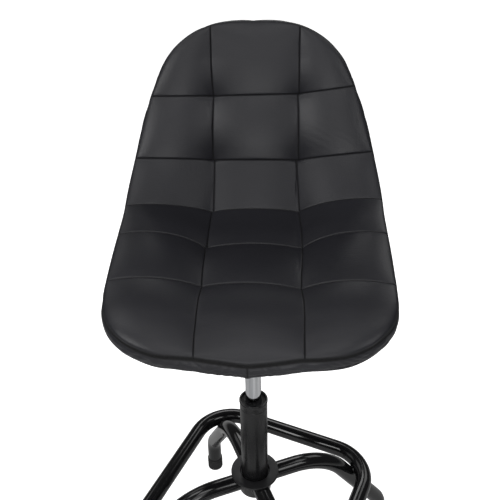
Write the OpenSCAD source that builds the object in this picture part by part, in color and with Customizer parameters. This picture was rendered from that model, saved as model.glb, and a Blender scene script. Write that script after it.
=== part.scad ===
// Drafting chair: a quilted bucket shell on a gas lift, with a four-legged tube base and a footrest ring.
// Millimetres, +Z up. The origin is on the floor, under the middle of the whole chair. The seat faces -Y.

/* [Base] */
// Outer diameter of the leg and footrest tubes
tube_d = 32; // [28:1:34]
// Wall thickness of those tubes
tube_wall = 1.8; // [1.2:0.1:3]
// Distance from the column's axis to each foot
foot_reach = 290; // [284:1:300]
// Height of the legs' centre line at the hub
leg_level = 288; // [284:1:292]
// Length of each leg's level part, measured from the column's axis
leg_level_run = 80.5; // [78:0.5:83]
// Downward slope of each leg
leg_slope = 55; // [53:1:57]
// Bend radius between a leg's level and sloping parts
knee_r = 133; // [128:1:136]
// Bend radius above each foot
ankle_r = 60; // [50:1:70]
// Turn of the base about the column
base_turn = 22.3; // [0:0.1:90]
// Height of the rubber cap on each foot
cap_h = 32; // [20:1:45]

/* [Footrest] */
// Half of the footrest's width across its straight sides
ring_half = 187.5; // [180:0.5:195]
// Bend radius of the footrest's corners
ring_corner_r = 79; // [60:1:100]
// Height of the footrest's centre line
ring_level = 223.5; // [220:0.5:230]

/* [Column] */
// Place of the column's axis along Y, which centres the whole chair on the origin
axis_y = -27.5; // [-40:0.5:0]
// Outer diameter of the column tube
column_d = 50; // [48:1:52]
// Height of the column's top lip
column_top = 498; // [490:1:520]
// Outer diameter of the flange at the hub
flange_d = 92; // [86:1:100]

/* [Gas lift] */
// Outer diameter of the bright cylinder
cylinder_d = 28; // [26:1:30]
// Diameter of the piston rod
rod_d = 10; // [8:1:10]
// Radial clearance of every running fit
run_gap = 0.05; // [0.02:0.01:0.1]

/* [Lever] */
// Distance from the lever's pivot to the column's axis
lever_arm = 22; // [20:1:24]
// Length of the lever outside its pivot
lever_len = 178; // [150:1:190]
// Downward slope of the lever at rest
lever_slope = 12; // [10:1:14]

/* [Seat] */
// Height of the seat's flat middle, at the level of its seams
pan_level = 775; // [770:1:790]
// Half of the seat's largest width
seat_half_w = 224; // [210:1:235]
// Length of the curved front lip
lip_len = 142; // [120:1:160]
// Slope of the lip at its front edge
lip_angle = 28.4; // [15:0.1:35]
// Length of the flat middle of the seat
pan_len = 155; // [150:1:170]
// Length of the bend between the seat and the back
bend_len = 181; // [150:1:220]
// Length of the straight part of the back
back_len = 219; // [180:1:260]
// Angle of the back above the horizontal
back_angle = 70; // [62:1:80]
// Thickness from the seams to the rear cover
seat_thick = 26.3; // [26:0.1:30]
// Height of the padding's crown above its seams
crown = 10; // [6:0.5:12]

/* [Hidden] */

// Colours
gloss_black = [0.03, 0.03, 0.035];
satin_black = [0.06, 0.06, 0.065];
leather_black = [0.10, 0.10, 0.11];
rubber_black = [0.04, 0.04, 0.04];
bright_metal = [0.80, 0.81, 0.83];
zinc = [0.62, 0.63, 0.64];
ply = [0.70, 0.55, 0.36];
foam_cream = [0.88, 0.84, 0.72];

// Base: the knee's end, the ankle's centre and the slope's length, in the leg's own plane
tube_fn = 48;
tube_r = tube_d / 2;
knee_end = [leg_level_run + knee_r * sin(leg_slope), leg_level - knee_r * (1 - cos(leg_slope))];
slope_len = (foot_reach - ankle_r + ankle_r * sin(leg_slope) - knee_end[0]) / cos(leg_slope);
ankle_centre = [foot_reach - ankle_r, knee_end[1] - slope_len * sin(leg_slope) - ankle_r * cos(leg_slope)];
bend_thinning = 0.03;
bend_lap = 1;
root_len = 6;
cap_floor = 5;
cap_wall = 1.8;

// Hub and column
socket_r = 31;
hub_bottom = leg_level - 26;
hub_top = leg_level + tube_r;
flange_t = 4;
flange_hole_r = 28;
column_r = column_d / 2;
column_bore_r = 22.4;
column_bottom = hub_bottom + 2;
column_taper = 0.8;
bush_top = column_top - 4;
bush_len = 70;

// Bearing stack on the column's base plate
plate_z = column_bottom + 2;
plate_t = 4;
washer_t = 2;
washer_r = 14;
ball_r = 2;
ball_pitch_r = 9.5;
ball_count = 10;
ball_gap = 0.02;
lower_washer_z = plate_z + plate_t;
ball_z = lower_washer_z + washer_t + run_gap + ball_r;
upper_washer_z = ball_z + ball_r + ball_gap;
shoulder_z = upper_washer_z + washer_t;
shoulder_t = 3;
buffer_h = 9;
rod_r = rod_d / 2;
rod_neck_r = 4;
clip_t = 1.4;
clip_gap = 0.2;
clip_z = plate_z - clip_gap - clip_t;

// Gas cylinder
cylinder_r = cylinder_d / 2;
cylinder_bore_r = 12;
cylinder_bottom = bush_top - bush_len + 1;
gland_h = 18;
head_h = 12;
head_z = cylinder_bottom + gland_h + 2;
taper_len = 56;
taper_drop = 0.8;

// Seat bracket, stacked down from the underside of the seat
under_z = pan_level - seat_thick;
pad_t = 4;
pad_r = 9.5;
plate_steel = 3;
seat_plate_z = under_z - pad_t - plate_steel;
channel_h = 22;
channel_z = seat_plate_z - channel_h;
channel_half_w = 28;
channel_half_l = 40;
cylinder_top = channel_z + plate_steel + 2;
socket_outer_r = 20;
taper_socket_len = 58;
bolt_x = 64;
bolt_y = [-30, 101];
bolt_r = 3;
bolt_top = pan_level - 14;

// Lever and release pin
pivot_z = channel_z + 13.3;
lever_r = 4.5;
boss_r = 6.5;
boss_half = 10;
pivot_r = 3;
lever_tip = 6;
rod_end = lever_len - 12;
grip_start = 102;
pin_r = 4;
pin_gap = 0.1;
pin_dome_r = 6;
pin_top = pivot_z - lever_r - pin_gap;
pin_hole_depth = 22.7;

// Seat surface: arc length along the centre line, from the front edge to the top of the back
bend_start = lip_len + pan_len;
back_start = bend_start + bend_len;
seat_len = back_start + back_len;
lip_r = lip_len / (lip_angle * PI / 180);
bend_r = bend_len / (back_angle * PI / 180);
pan_front_y = -42;
pan_back_y = pan_front_y + pan_len;
crease = 0.34;
back_waist = 345;
back_narrowing = 0.00082;
front_waist = 254;
front_narrowing = 0.0002;
end_rise = 8.5;
side_rise = 22.5;
rise_centre = 360;
rise_spread = 150;
front_round_len = 120;
front_round_n = 3.08;
top_round_len = 94;
top_round_n = 2.85;
shell_gap = 0.3;
foam_gap = 1.2;
cover_t = 2;
core_inset = cover_t + 0.8;
foam_bottom = 12;
shell_bottom = 24;

// Angle of the centre line above the horizontal at arc length s
function sheet_angle(s) =
    s < lip_len ? lip_angle * (1 - s / lip_len) :
    s < bend_start ? 0 :
    s < back_start ? back_angle * (s - bend_start) / bend_len : back_angle;

// Point [y, z] of the centre line at arc length s
function centre_line(s) = let (a = sheet_angle(s))
    s < lip_len ? [pan_front_y - lip_r * sin(a), pan_level - lip_r * (1 - cos(a))] :
    s < bend_start ? [pan_front_y + s - lip_len, pan_level] :
    s < back_start ? [pan_back_y + bend_r * sin(a), pan_level + bend_r * (1 - cos(a))] :
    [pan_back_y + bend_r * sin(a) + (s - back_start) * cos(a),
     pan_level + bend_r * (1 - cos(a)) + (s - back_start) * sin(a)];

// Direction [y, z] of the sheet's thickness: upright under the lip, square to the sheet behind it
function thick_dir(s) = let (a = s < bend_start ? 0 : sheet_angle(s)) [-sin(a), cos(a)];

// Rounding of one end: 0 at the end and 1 from distance l inwards
function end_round(d, l, n) = d >= l ? 1 : pow(1 - pow(1 - d / l, n), 1 / n);

// Half of the sheet's width at arc length s, before and after its ends are rounded
function broad_half(s) = seat_half_w
    - back_narrowing * pow(max(0, s - back_waist), 2) - front_narrowing * pow(max(0, front_waist - s), 2);
function half_width(s) = broad_half(s)
    * end_round(s, front_round_len, front_round_n) * end_round(seat_len - s, top_round_len, top_round_n);

// Rise of the sheet's two edges above its centre line
function edge_rise(s) = end_rise + side_rise * exp(-pow((s - rise_centre) / rise_spread, 2));

// How far x is on its way from the crease, at 0, to the sheet's broad edge, at 1
function side_part(s, x) = max(0, (abs(x) / broad_half(s) - crease) / (1 - crease));
function padded_rise(p) = p * (2 - p);
function shell_rise(p) = pow(p, 1.7);

// Point of a layer at station s and width fraction q: m is its inset from the sheet's edge,
// soft chooses the padded or the shell's cross-section, and d is its distance along the thickness
function layer_point(s, q, m, soft, d) =
    let (sm = m + s * (seat_len - 2 * m) / seat_len, c = centre_line(sm), n = thick_dir(sm),
         x = q * (half_width(s) - m), p = side_part(sm, x),
         lift = d + edge_rise(sm) * (soft ? padded_rise(p) : shell_rise(p)))
    [x, c[0] + n[0] * lift, c[1] + n[1] * lift];

// Stations along and across the sheet
stations = concat(
    [for (f = [0.015, 0.06, 0.15, 0.32, 0.55, 0.78]) f * lip_len],
    [for (f = [0 : 0.5 : 0.5]) lip_len + f * pan_len],
    [for (f = [0 : 1 / 7 : 0.99]) bend_start + f * bend_len],
    [for (f = [0, 0.2, 0.4, 0.58, 0.72, 0.84, 0.93, 0.98, 0.995]) back_start + f * back_len]);
across = [-1, -0.97, -0.86, -0.7, -0.52, -crease, -0.15, 0.15, crease, 0.52, 0.7, 0.86, 0.97, 1];
rows = len(stations);
cols = len(across);

// Crown of the padding above its seams, falling to zero at the edge
function pad_crown(s, q) = crown * (1 - pow(abs(q), 6)) * (1 - pow(abs(2 * s / seat_len - 1), 8));

// Triangles of a closed slab whose two grids of points follow each other
function quad(a, b, c, d) = [[a, b, c], [a, c, d]];
function slab_faces() =
    let (top = rows * cols, last = rows - 1, edge = cols - 1)
    concat(
        [for (i = [0 : last - 1], j = [0 : edge - 1]) each
            let (a = i * cols + j, b = a + cols) quad(a, b, b + 1, a + 1)],
        [for (i = [0 : last - 1], j = [0 : edge - 1]) each
            let (a = top + i * cols + j, b = a + cols) quad(a, a + 1, b + 1, b)],
        [for (i = [0 : last - 1]) each
            quad(i * cols, top + i * cols, top + (i + 1) * cols, (i + 1) * cols)],
        [for (i = [0 : last - 1]) each
            quad(i * cols + edge, (i + 1) * cols + edge, top + (i + 1) * cols + edge, top + i * cols + edge)],
        [for (j = [0 : edge - 1]) each quad(j, j + 1, top + j + 1, top + j)],
        [for (j = [0 : edge - 1]) each
            quad(last * cols + j, top + last * cols + j, top + last * cols + j + 1, last * cols + j + 1)]);

// Everything stands on the column's axis
module on_axis() {
    translate([0, axis_y, 0]) children();
}

// Legs and feet
module tube_section() {
    difference() {
        circle(r = tube_r, $fn = tube_fn);
        circle(r = tube_r - tube_wall, $fn = tube_fn);
    }
}

module rod_bend(bend_radius, from, turn, r) {
    rotate([90, 0, 0]) rotate([0, 0, from]) rotate_extrude(angle = turn, $fn = tube_fn * 2)
        translate([bend_radius, 0]) circle(r = r - bend_thinning, $fn = tube_fn);
}

// A solid rod along the leg's centre line; its straight runs lap a little way into its bends
module leg_rod(r, over) {
    translate([socket_r - root_len - over, 0, leg_level]) rotate([0, 90, 0])
        cylinder(r = r, h = leg_level_run - socket_r + root_len + over + bend_lap, $fn = tube_fn);
    translate([leg_level_run, 0, leg_level - knee_r]) rod_bend(knee_r, 90 - leg_slope, leg_slope, r);
    translate([knee_end[0], 0, knee_end[1]]) rotate([0, 90 + leg_slope, 0]) translate([0, 0, -bend_lap])
        cylinder(r = r, h = slope_len + 2 * bend_lap, $fn = tube_fn);
    translate([ankle_centre[0], 0, ankle_centre[1]]) rod_bend(ankle_r, 0, 90 - leg_slope, r);
    translate([foot_reach, 0, cap_floor - over])
        cylinder(r = r, h = ankle_centre[1] - cap_floor + over + bend_lap, $fn = tube_fn);
}

module leg(index) {
    color(gloss_black) on_axis() rotate([0, 0, base_turn + 90 * index]) difference() {
        leg_rod(tube_r, 0);
        leg_rod(tube_r - tube_wall, 1);
        cylinder(r = socket_r, h = hub_top + 50, $fn = 96);
    }
}

module foot_cap(index) {
    rim = 1.5;
    color(rubber_black) on_axis() rotate([0, 0, base_turn + 90 * index]) translate([foot_reach, 0, 0])
        rotate_extrude($fn = 64) polygon([
            [0, 0], [tube_r + cap_wall - rim, 0], [tube_r + cap_wall, rim], [tube_r + cap_wall, cap_h - 7],
            [tube_r + cap_wall - 0.8, cap_h - 6.4], [tube_r + cap_wall - 0.8, cap_h - 4.6],
            [tube_r + cap_wall, cap_h - 4], [tube_r + cap_wall, cap_h - 1], [tube_r + cap_wall - 1, cap_h],
            [tube_r, cap_h], [tube_r, cap_floor], [0, cap_floor]]);
}

module leg_right() { leg(0); }
module leg_back() { leg(1); }
module leg_left() { leg(2); }
module leg_front() { leg(3); }
module foot_cap_right() { foot_cap(0); }
module foot_cap_back() { foot_cap(1); }
module foot_cap_left() { foot_cap(2); }
module foot_cap_front() { foot_cap(3); }

module footrest_ring() {
    side = ring_half - ring_corner_r;
    color(gloss_black) on_axis() translate([0, 0, ring_level]) rotate([0, 0, base_turn - 45])
        for (k = [0 : 3]) rotate([0, 0, 90 * k]) {
            translate([side, side, 0]) rotate_extrude(angle = 90, $fn = tube_fn * 2)
                translate([ring_corner_r, 0]) tube_section();
            translate([ring_half, side, 0]) rotate([90, 0, 0]) linear_extrude(2 * side) tube_section();
        }
}

// Hub and column
module hub_socket() {
    bore_top = column_r;
    bore_bottom = column_r - column_taper - 2 * column_taper / (hub_top - column_bottom);
    color(gloss_black) on_axis() rotate_extrude($fn = 96) polygon([
        [bore_bottom, hub_bottom], [socket_r - 1, hub_bottom], [socket_r, hub_bottom + 1],
        [socket_r, hub_top], [bore_top, hub_top]]);
}

module hub_flange() {
    edge = 1;
    color(satin_black) on_axis() rotate_extrude($fn = 96) polygon([
        [flange_hole_r, hub_top], [flange_d / 2, hub_top], [flange_d / 2, hub_top + flange_t - edge],
        [flange_d / 2 - edge, hub_top + flange_t], [flange_hole_r + edge, hub_top + flange_t],
        [flange_hole_r, hub_top + flange_t - edge]]);
}

module column_tube() {
    lip = 0.7;
    lip_h = 4;
    color(gloss_black) on_axis() rotate_extrude($fn = 96) polygon([
        [column_bore_r, column_bottom], [column_r - column_taper, column_bottom], [column_r, hub_top],
        [column_r, column_top - lip_h - 1], [column_r + lip, column_top - lip_h],
        [column_r + lip, column_top - 1], [column_r + lip - 1, column_top], [column_bore_r + 0.6, column_top],
        [column_bore_r, column_top - 0.6]]);
}

module guide_bush() {
    color(satin_black) on_axis() rotate_extrude($fn = 96) polygon([
        [cylinder_r + run_gap, bush_top - bush_len], [column_bore_r, bush_top - bush_len],
        [column_bore_r, bush_top - 0.5], [column_bore_r - 0.5, bush_top],
        [cylinder_r + run_gap + 1, bush_top], [cylinder_r + run_gap, bush_top - 1]]);
}

module flat_ring(inner, outer, z, h) {
    translate([0, 0, z]) difference() {
        cylinder(r = outer, h = h, $fn = 64);
        translate([0, 0, -1]) cylinder(r = inner, h = h + 2, $fn = 64);
    }
}

module column_base_plate() {
    color(zinc) on_axis() flat_ring(rod_r + run_gap, column_bore_r, plate_z, plate_t);
}

// Thrust bearing and piston rod
module lower_washer() {
    color(zinc) on_axis() flat_ring(rod_r + 0.4, washer_r, lower_washer_z, washer_t);
}

module upper_washer() {
    color(zinc) on_axis() flat_ring(rod_r, washer_r, upper_washer_z, washer_t);
}

module bearing_cage() {
    cage_t = 1.2;
    pocket_r = ball_r + 0.05;
    color("goldenrod") on_axis() difference() {
        flat_ring(rod_r + 0.6, washer_r - 1, ball_z - cage_t / 2, cage_t);
        for (k = [0 : ball_count - 1]) rotate([0, 0, 360 / ball_count * k])
            translate([ball_pitch_r, 0, ball_z - cage_t]) cylinder(r = pocket_r, h = 2 * cage_t, $fn = 32);
    }
}

module bearing_balls() {
    color(bright_metal) on_axis() for (k = [0 : ball_count - 1]) rotate([0, 0, 360 / ball_count * k])
        translate([ball_pitch_r, 0, ball_z]) sphere(r = ball_r, $fn = 32);
}

module piston_rod() {
    neck_z = clip_z - 0.1;
    color(bright_metal) on_axis() rotate_extrude($fn = 64) polygon([
        [0, neck_z - 1.5], [rod_r - 0.5, neck_z - 1.5], [rod_r, neck_z - 1], [rod_r, neck_z],
        [rod_neck_r, neck_z], [rod_neck_r, clip_z + clip_t + 0.1], [rod_r, clip_z + clip_t + 0.1],
        [rod_r, shoulder_z], [rod_r + 2, shoulder_z], [rod_r + 2, shoulder_z + shoulder_t],
        [rod_r, shoulder_z + shoulder_t], [rod_r, head_z], [rod_neck_r, head_z],
        [rod_neck_r, head_z + head_h + 2], [0, head_z + head_h + 2]]);
}

module piston_head() {
    groove = 1.2;
    outer = cylinder_bore_r - run_gap;
    color(zinc) on_axis() rotate_extrude($fn = 64) polygon([
        [rod_neck_r, head_z], [outer, head_z], [outer, head_z + 4], [outer - groove, head_z + 4],
        [outer - groove, head_z + 7], [outer, head_z + 7], [outer, head_z + head_h],
        [rod_neck_r, head_z + head_h]]);
}

module rubber_buffer() {
    color(rubber_black) on_axis() flat_ring(rod_r, washer_r - 1, shoulder_z + shoulder_t, buffer_h);
}

module retaining_clip() {
    color(zinc) on_axis() difference() {
        flat_ring(rod_neck_r, rod_neck_r + 4, clip_z, clip_t);
        translate([0, -rod_neck_r * 0.8, clip_z - 1]) cube([20, rod_neck_r * 1.6, clip_t + 2]);
    }
}

// Gas cylinder
module gas_cylinder() {
    pin_floor = cylinder_top - pin_hole_depth;
    color(bright_metal) on_axis() rotate_extrude($fn = 96) polygon([
        [cylinder_bore_r, cylinder_bottom], [cylinder_r - 0.8, cylinder_bottom],
        [cylinder_r, cylinder_bottom + 0.8], [cylinder_r, cylinder_top - taper_len],
        [cylinder_r - taper_drop, cylinder_top], [pin_r + run_gap, cylinder_top],
        [pin_r + run_gap, pin_floor], [0, pin_floor], [0, pin_floor - 4], [cylinder_bore_r, pin_floor - 4]]);
}

module rod_gland() {
    color(satin_black) on_axis() flat_ring(rod_r + run_gap, cylinder_bore_r, cylinder_bottom, gland_h);
}

module release_pin() {
    pin_len = 22;
    color(zinc) on_axis() intersection() {
        translate([0, 0, pin_top - pin_len]) cylinder(r = pin_r, h = pin_len, $fn = 64);
        union() {
            translate([0, 0, pin_top - pin_dome_r]) sphere(r = pin_dome_r, $fn = 64);
            translate([0, 0, pin_top - pin_len - 1])
                cylinder(r = pin_r + 1, h = pin_len - pin_dome_r + 1, $fn = 64);
        }
    }
}

// Seat bracket
module taper_socket() {
    slope = taper_drop / taper_len;
    top_z = channel_z + plate_steel;
    bottom_z = top_z - taper_socket_len;
    color(satin_black) on_axis() rotate_extrude($fn = 96) polygon([
        [cylinder_r - taper_drop + slope * (cylinder_top - bottom_z), bottom_z],
        [socket_outer_r - 1, bottom_z], [socket_outer_r, bottom_z + 1], [socket_outer_r, top_z],
        [cylinder_r - taper_drop + slope * (cylinder_top - top_z), top_z]]);
}

module bracket_channel() {
    color(satin_black) on_axis() difference() {
        translate([-channel_half_l, -channel_half_w, channel_z])
            cube([2 * channel_half_l, 2 * channel_half_w, channel_h]);
        translate([-channel_half_l - 1, -channel_half_w + plate_steel, channel_z + plate_steel])
            cube([2 * channel_half_l + 2, 2 * (channel_half_w - plate_steel), channel_h]);
        translate([0, 0, channel_z - 1]) cylinder(r = socket_outer_r, h = plate_steel + 2, $fn = 96);
        translate([-lever_arm, channel_half_w + 1, pivot_z]) rotate([90, 0, 0])
            cylinder(r = pivot_r, h = 2 * channel_half_w + 2, $fn = 48);
    }
}

module at_bolts() {
    for (x = [-bolt_x, bolt_x], y = bolt_y) translate([x, y, 0]) children();
}

module seat_plate() {
    half_l = 85;
    corner = 12;
    front = pan_front_y - 4;
    back = pan_back_y + 1;
    color(satin_black) on_axis() difference() {
        translate([0, 0, seat_plate_z]) union() {
            translate([-half_l, front + corner, 0])
                cube([2 * half_l, back - front - 2 * corner, plate_steel]);
            translate([-half_l + corner, front, 0]) cube([2 * (half_l - corner), back - front, plate_steel]);
            for (x = [-1, 1], y = [front + corner, back - corner])
                translate([x * (half_l - corner), y, 0]) cylinder(r = corner, h = plate_steel, $fn = 48);
        }
        at_bolts() translate([0, 0, seat_plate_z - 1])
            cylinder(r = bolt_r + 0.3, h = plate_steel + 2, $fn = 48);
    }
}

module plate_pads() {
    color(rubber_black) on_axis() at_bolts()
        flat_ring(bolt_r + 0.3, pad_r, seat_plate_z + plate_steel, pad_t - 0.1);
}

module seat_bolts() {
    head_h = 4;
    head_r = 5.5;
    head_top = seat_plate_z - 1.2;
    color(zinc) on_axis() at_bolts() {
        translate([0, 0, head_top - head_h]) cylinder(r = head_r, h = head_h, $fn = 6);
        translate([0, 0, head_top - 0.01]) cylinder(r = bolt_r, h = bolt_top - head_top, $fn = 48);
    }
}

module bolt_washers() {
    color(zinc) on_axis() at_bolts() flat_ring(bolt_r + 0.2, 8, seat_plate_z - 1.2, 1.2);
}

module tee_nuts() {
    barrel_z = under_z + 3;
    flange_z = pan_level - foam_bottom - shell_gap - 1.4;
    color(zinc) on_axis() at_bolts() union() {
        flat_ring(bolt_r + 0.02, 4.2, barrel_z, flange_z - barrel_z + 0.5);
        flat_ring(bolt_r + 0.02, 9, flange_z, 1.2);
    }
}

// Lever
module lever_axis() {
    translate([-lever_arm, 0, pivot_z]) children();
}

module lever_pin() {
    color(zinc) on_axis() lever_axis() {
        translate([0, channel_half_w + 1.5, 0]) rotate([90, 0, 0])
            cylinder(r = pivot_r, h = 2 * channel_half_w + 3, $fn = 48);
        for (side = [-1, 1]) translate([0, side * (channel_half_w + 1), 0]) rotate([90, 0, 0])
            cylinder(r = pivot_r + 2, h = 2, center = true, $fn = 48);
    }
}

module lever_rod() {
    color(zinc) on_axis() lever_axis() difference() {
        union() {
            rotate([90, 0, 0]) cylinder(r = boss_r, h = 2 * boss_half, center = true, $fn = 48);
            rotate([0, 90, 0]) cylinder(r = lever_r, h = lever_arm + lever_tip, $fn = 48);
            rotate([0, -90 - lever_slope, 0]) cylinder(r = lever_r, h = rod_end, $fn = 48);
        }
        rotate([90, 0, 0]) cylinder(r = pivot_r + run_gap, h = 2 * boss_half + 2, center = true, $fn = 48);
    }
}

module lever_grip() {
    waist = 8;
    belly = 9.5;
    color(satin_black) on_axis() lever_axis() rotate([0, -90 - lever_slope, 0])
        rotate_extrude($fn = 64) polygon([
            [lever_r, grip_start], [waist - 1.5, grip_start], [waist, grip_start + 1.5],
            [waist, grip_start + 12], [waist - 0.8, grip_start + 13], [waist - 0.8, grip_start + 15],
            [waist + 0.3, grip_start + 16], [belly, grip_start + 34], [belly, lever_len - 12],
            [belly - 1.2, lever_len - 5], [belly - 4, lever_len - 1], [belly - 6, lever_len],
            [0, lever_len], [0, rod_end], [lever_r, rod_end]]);
}

// Seat
module slab(inset, soft_under, under, soft_over, over) {
    polyhedron(
        points = concat(
            [for (s = stations, q = across) layer_point(s, q, inset, soft_over, over(s, q))],
            [for (s = stations, q = across) layer_point(s, q, inset, soft_under, under(s, q))]),
        faces = slab_faces(), convexity = 6);
}

module seat_shell() {
    color(ply) on_axis() difference() {
        slab(core_inset, false, function(s, q) -shell_bottom, false, function(s, q) -foam_bottom - shell_gap);
        at_bolts() {
            translate([0, 0, under_z - 5]) cylinder(r = 4.25, h = 40, $fn = 48);
            translate([0, 0, pan_level - foam_bottom - shell_gap - 1.4]) cylinder(r = 9.2, h = 20, $fn = 48);
        }
    }
}

module foam_pad() {
    color(foam_cream) on_axis() slab(core_inset, false, function(s, q) -foam_bottom,
        true, function(s, q) pad_crown(s, q) - cover_t - foam_gap);
}

module quilted_cover() {
    color(leather_black) on_axis() slab(0, true, function(s, q) pad_crown(s, q) - cover_t,
        true, function(s, q) pad_crown(s, q));
}

module rear_cover() {
    color(leather_black) on_axis() difference() {
        slab(core_inset, false, function(s, q) -seat_thick, false, function(s, q) -shell_bottom - shell_gap);
        at_bolts() translate([0, 0, under_z - 5]) cylinder(r = bolt_r + 0.3, h = 12, $fn = 48);
    }
}

// The band's four long edges run up the left side, across the top, down the right side and across the front
module side_band() {
    inner = [for (j = [1 : cols - 2]) across[j]];
    loop = concat(
        [for (s = stations) [s, -1]],
        [for (q = inner) [stations[rows - 1], q]],
        [for (i = [rows - 1 : -1 : 0]) [stations[i], 1]],
        [for (j = [cols - 3 : -1 : 0]) [stations[0], inner[j]]]);
    n = len(loop);
    top = -cover_t - foam_gap;
    color(leather_black) on_axis() polyhedron(
        points = [for (p = loop, k = [0 : 3]) let (upper = k == 0 || k == 3)
            layer_point(p[0], p[1], k < 2 ? 0 : cover_t, upper, upper ? top : -seat_thick)],
        faces = [for (i = [0 : n - 1], k = [0 : 3]) each
            let (a = 4 * i + k, b = 4 * i + (k + 1) % 4, j = 4 * ((i + 1) % n))
            quad(a, j + k, j + (k + 1) % 4, b)],
        convexity = 6);
}

leg_right();
leg_back();
leg_left();
leg_front();
foot_cap_right();
foot_cap_back();
foot_cap_left();
foot_cap_front();
footrest_ring();
hub_socket();
hub_flange();
column_tube();
guide_bush();
column_base_plate();
lower_washer();
bearing_cage();
bearing_balls();
upper_washer();
piston_rod();
piston_head();
rubber_buffer();
retaining_clip();
gas_cylinder();
rod_gland();
release_pin();
taper_socket();
bracket_channel();
seat_plate();
plate_pads();
lever_pin();
lever_rod();
lever_grip();
seat_bolts();
bolt_washers();
tee_nuts();
seat_shell();
foam_pad();
quilted_cover();
side_band();
rear_cover();
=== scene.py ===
"""Looks of the drafting chair: quilted black leather seat shell, gas lift, tube base and footrest ring.

The sitter faces -Y and +Z is up. The seat surface repeats the formulas of the CAD source.
"""

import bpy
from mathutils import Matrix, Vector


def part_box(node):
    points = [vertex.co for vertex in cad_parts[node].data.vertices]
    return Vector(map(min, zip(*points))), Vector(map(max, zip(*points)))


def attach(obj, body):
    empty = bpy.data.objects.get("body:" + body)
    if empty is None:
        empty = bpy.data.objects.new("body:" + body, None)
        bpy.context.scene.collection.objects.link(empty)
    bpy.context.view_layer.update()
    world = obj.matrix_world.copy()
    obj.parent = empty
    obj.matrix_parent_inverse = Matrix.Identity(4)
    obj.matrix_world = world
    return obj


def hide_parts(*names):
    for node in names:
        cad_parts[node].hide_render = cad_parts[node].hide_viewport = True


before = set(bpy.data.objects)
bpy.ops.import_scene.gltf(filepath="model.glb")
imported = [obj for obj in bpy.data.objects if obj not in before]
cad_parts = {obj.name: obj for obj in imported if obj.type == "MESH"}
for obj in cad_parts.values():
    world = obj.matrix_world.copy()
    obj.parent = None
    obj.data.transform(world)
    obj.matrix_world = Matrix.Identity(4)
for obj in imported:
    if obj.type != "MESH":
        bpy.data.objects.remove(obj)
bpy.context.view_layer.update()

import math

import bmesh
import bpy
import numpy as np
from mathutils import Matrix, Vector

MM = 0.001

# Lengths are millimetres from the column's axis on the floor, and this is its place in the frame, in metres
AXIS = (np.array(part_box("column_tube")[0]) + np.array(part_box("column_tube")[1])) / 2 * (1, 1, 0)

# Camera: place from the column's axis in metres, heading from +Y towards +X, downward pitch and roll in
# degrees, and focal length on a 36 mm sensor
CAMERA_AT = (0.0395, -0.9077, 1.4031)
CAMERA_YAW, CAMERA_PITCH, CAMERA_ROLL = -2.53, 32.9, 1.2
CAMERA_LENS = 50.4

# Seat surface: arc lengths of the lip, pan, bend and back along the centre line, and their angles
LIP_LEN, PAN_LEN, BEND_LEN, BACK_LEN = 142.0, 155.0, 181.0, 219.0
LIP_ANGLE, BACK_ANGLE = math.radians(28.4), math.radians(70.0)
PAN_FRONT_Y, PAN_LEVEL = -42.0, 775.0
BEND_START = LIP_LEN + PAN_LEN
BACK_START = BEND_START + BEND_LEN
SEAT_LEN = BACK_START + BACK_LEN
LIP_R, BEND_R = LIP_LEN / LIP_ANGLE, BEND_LEN / BACK_ANGLE
# Rounding of the outline's front and top: length and power
FRONT_ROUND_LEN, FRONT_ROUND_N = 120.0, 3.08
TOP_ROUND_LEN, TOP_ROUND_N = 94.0, 2.85
# Half of the sheet's width, how fast it narrows towards the top and the front, and from which arc lengths
HALF_WIDTH = 224.0
TOP_TAPER, TOP_TAPER_S, FRONT_TAPER, FRONT_TAPER_S = 0.00082, 345.0, 0.0002, 254.0
# Rise of the edges: everywhere, and more round the hips; the middle strip inside CREASE_X stays flat
EDGE_RISE, HIP_RISE, HIP_S, HIP_REACH = 8.5, 22.5, 360.0, 150.0
CREASE_X, END_REACH = 76.0, 70.0
# Depth of the foam's underside and of the shell's underside below the surface
FOAM_BOTTOM, SEAT_THICK = 12.0, 26.3

# Quilting: the two lengthwise seams, and the five cross seams from the front, by their places at the left
# rim, at the left and right crossings, and at the right rim
SEAM_LEFT, SEAM_RIGHT = -75.0, 80.0
PANEL_EDGES = (-HALF_WIDTH, SEAM_LEFT, SEAM_RIGHT, HALF_WIDTH)
COLUMNS, ROWS = 3, 6
CROSS_SEAMS = ((139.0, 144.0, 138.5, 132.0), (254.0, 254.0, 253.0, 259.0), (341.0, 357.5, 357.0, 358.0),
               (458.0, 456.0, 455.5, 471.0), (569.0, 569.0, 572.0, 585.0))
# How far the lengthwise seams stray sideways in each row, at quarters of its length
WANDER_LEFT = ((0.0, -1.6, -1.7, -1.2, 1.4), (0.4, -0.8, -1.6, -2.2, -2.8), (-0.5, -1.0, -1.7, -0.7, 0.9),
               (3.4, 3.1, 3.1, 3.1, 2.5), (0.2, 0.2, 0.4, 1.6, 2.7), (2.1, 0.7, -0.7, -0.3, 0.0))
WANDER_RIGHT = ((0.0, 0.3, 1.7, 1.3, -1.7), (-2.0, -0.5, 1.9, 3.4, 2.4), (2.4, 3.2, 4.1, 1.7, -1.4),
                (-0.4, 0.0, -0.5, -2.5, -5.0), (-2.1, -0.4, -0.4, -1.1, -3.6), (-1.4, -0.4, 0.0, -0.5, 0.0))
WANDER_REACH = 28.0
# Where the grid's corners lie on the rim: arc length from the front and from the top
FRONT_CORNER_S, TOP_CORNER_D = 26.0, 21.0
# How far each cross seam rises between its ends, in the middle, left and right panels
CROSS_LIFT_MID = (0.0, 8.5, 8.0, 6.0, 4.5, 4.0, 0.0)
CROSS_LIFT_LEFT = (0.0, 9.0, 13.0, 3.0, 4.5, 4.0, 0.0)
CROSS_LIFT_RIGHT = (0.0, 10.0, 11.5, 7.5, 4.5, 4.0, 0.0)
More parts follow.
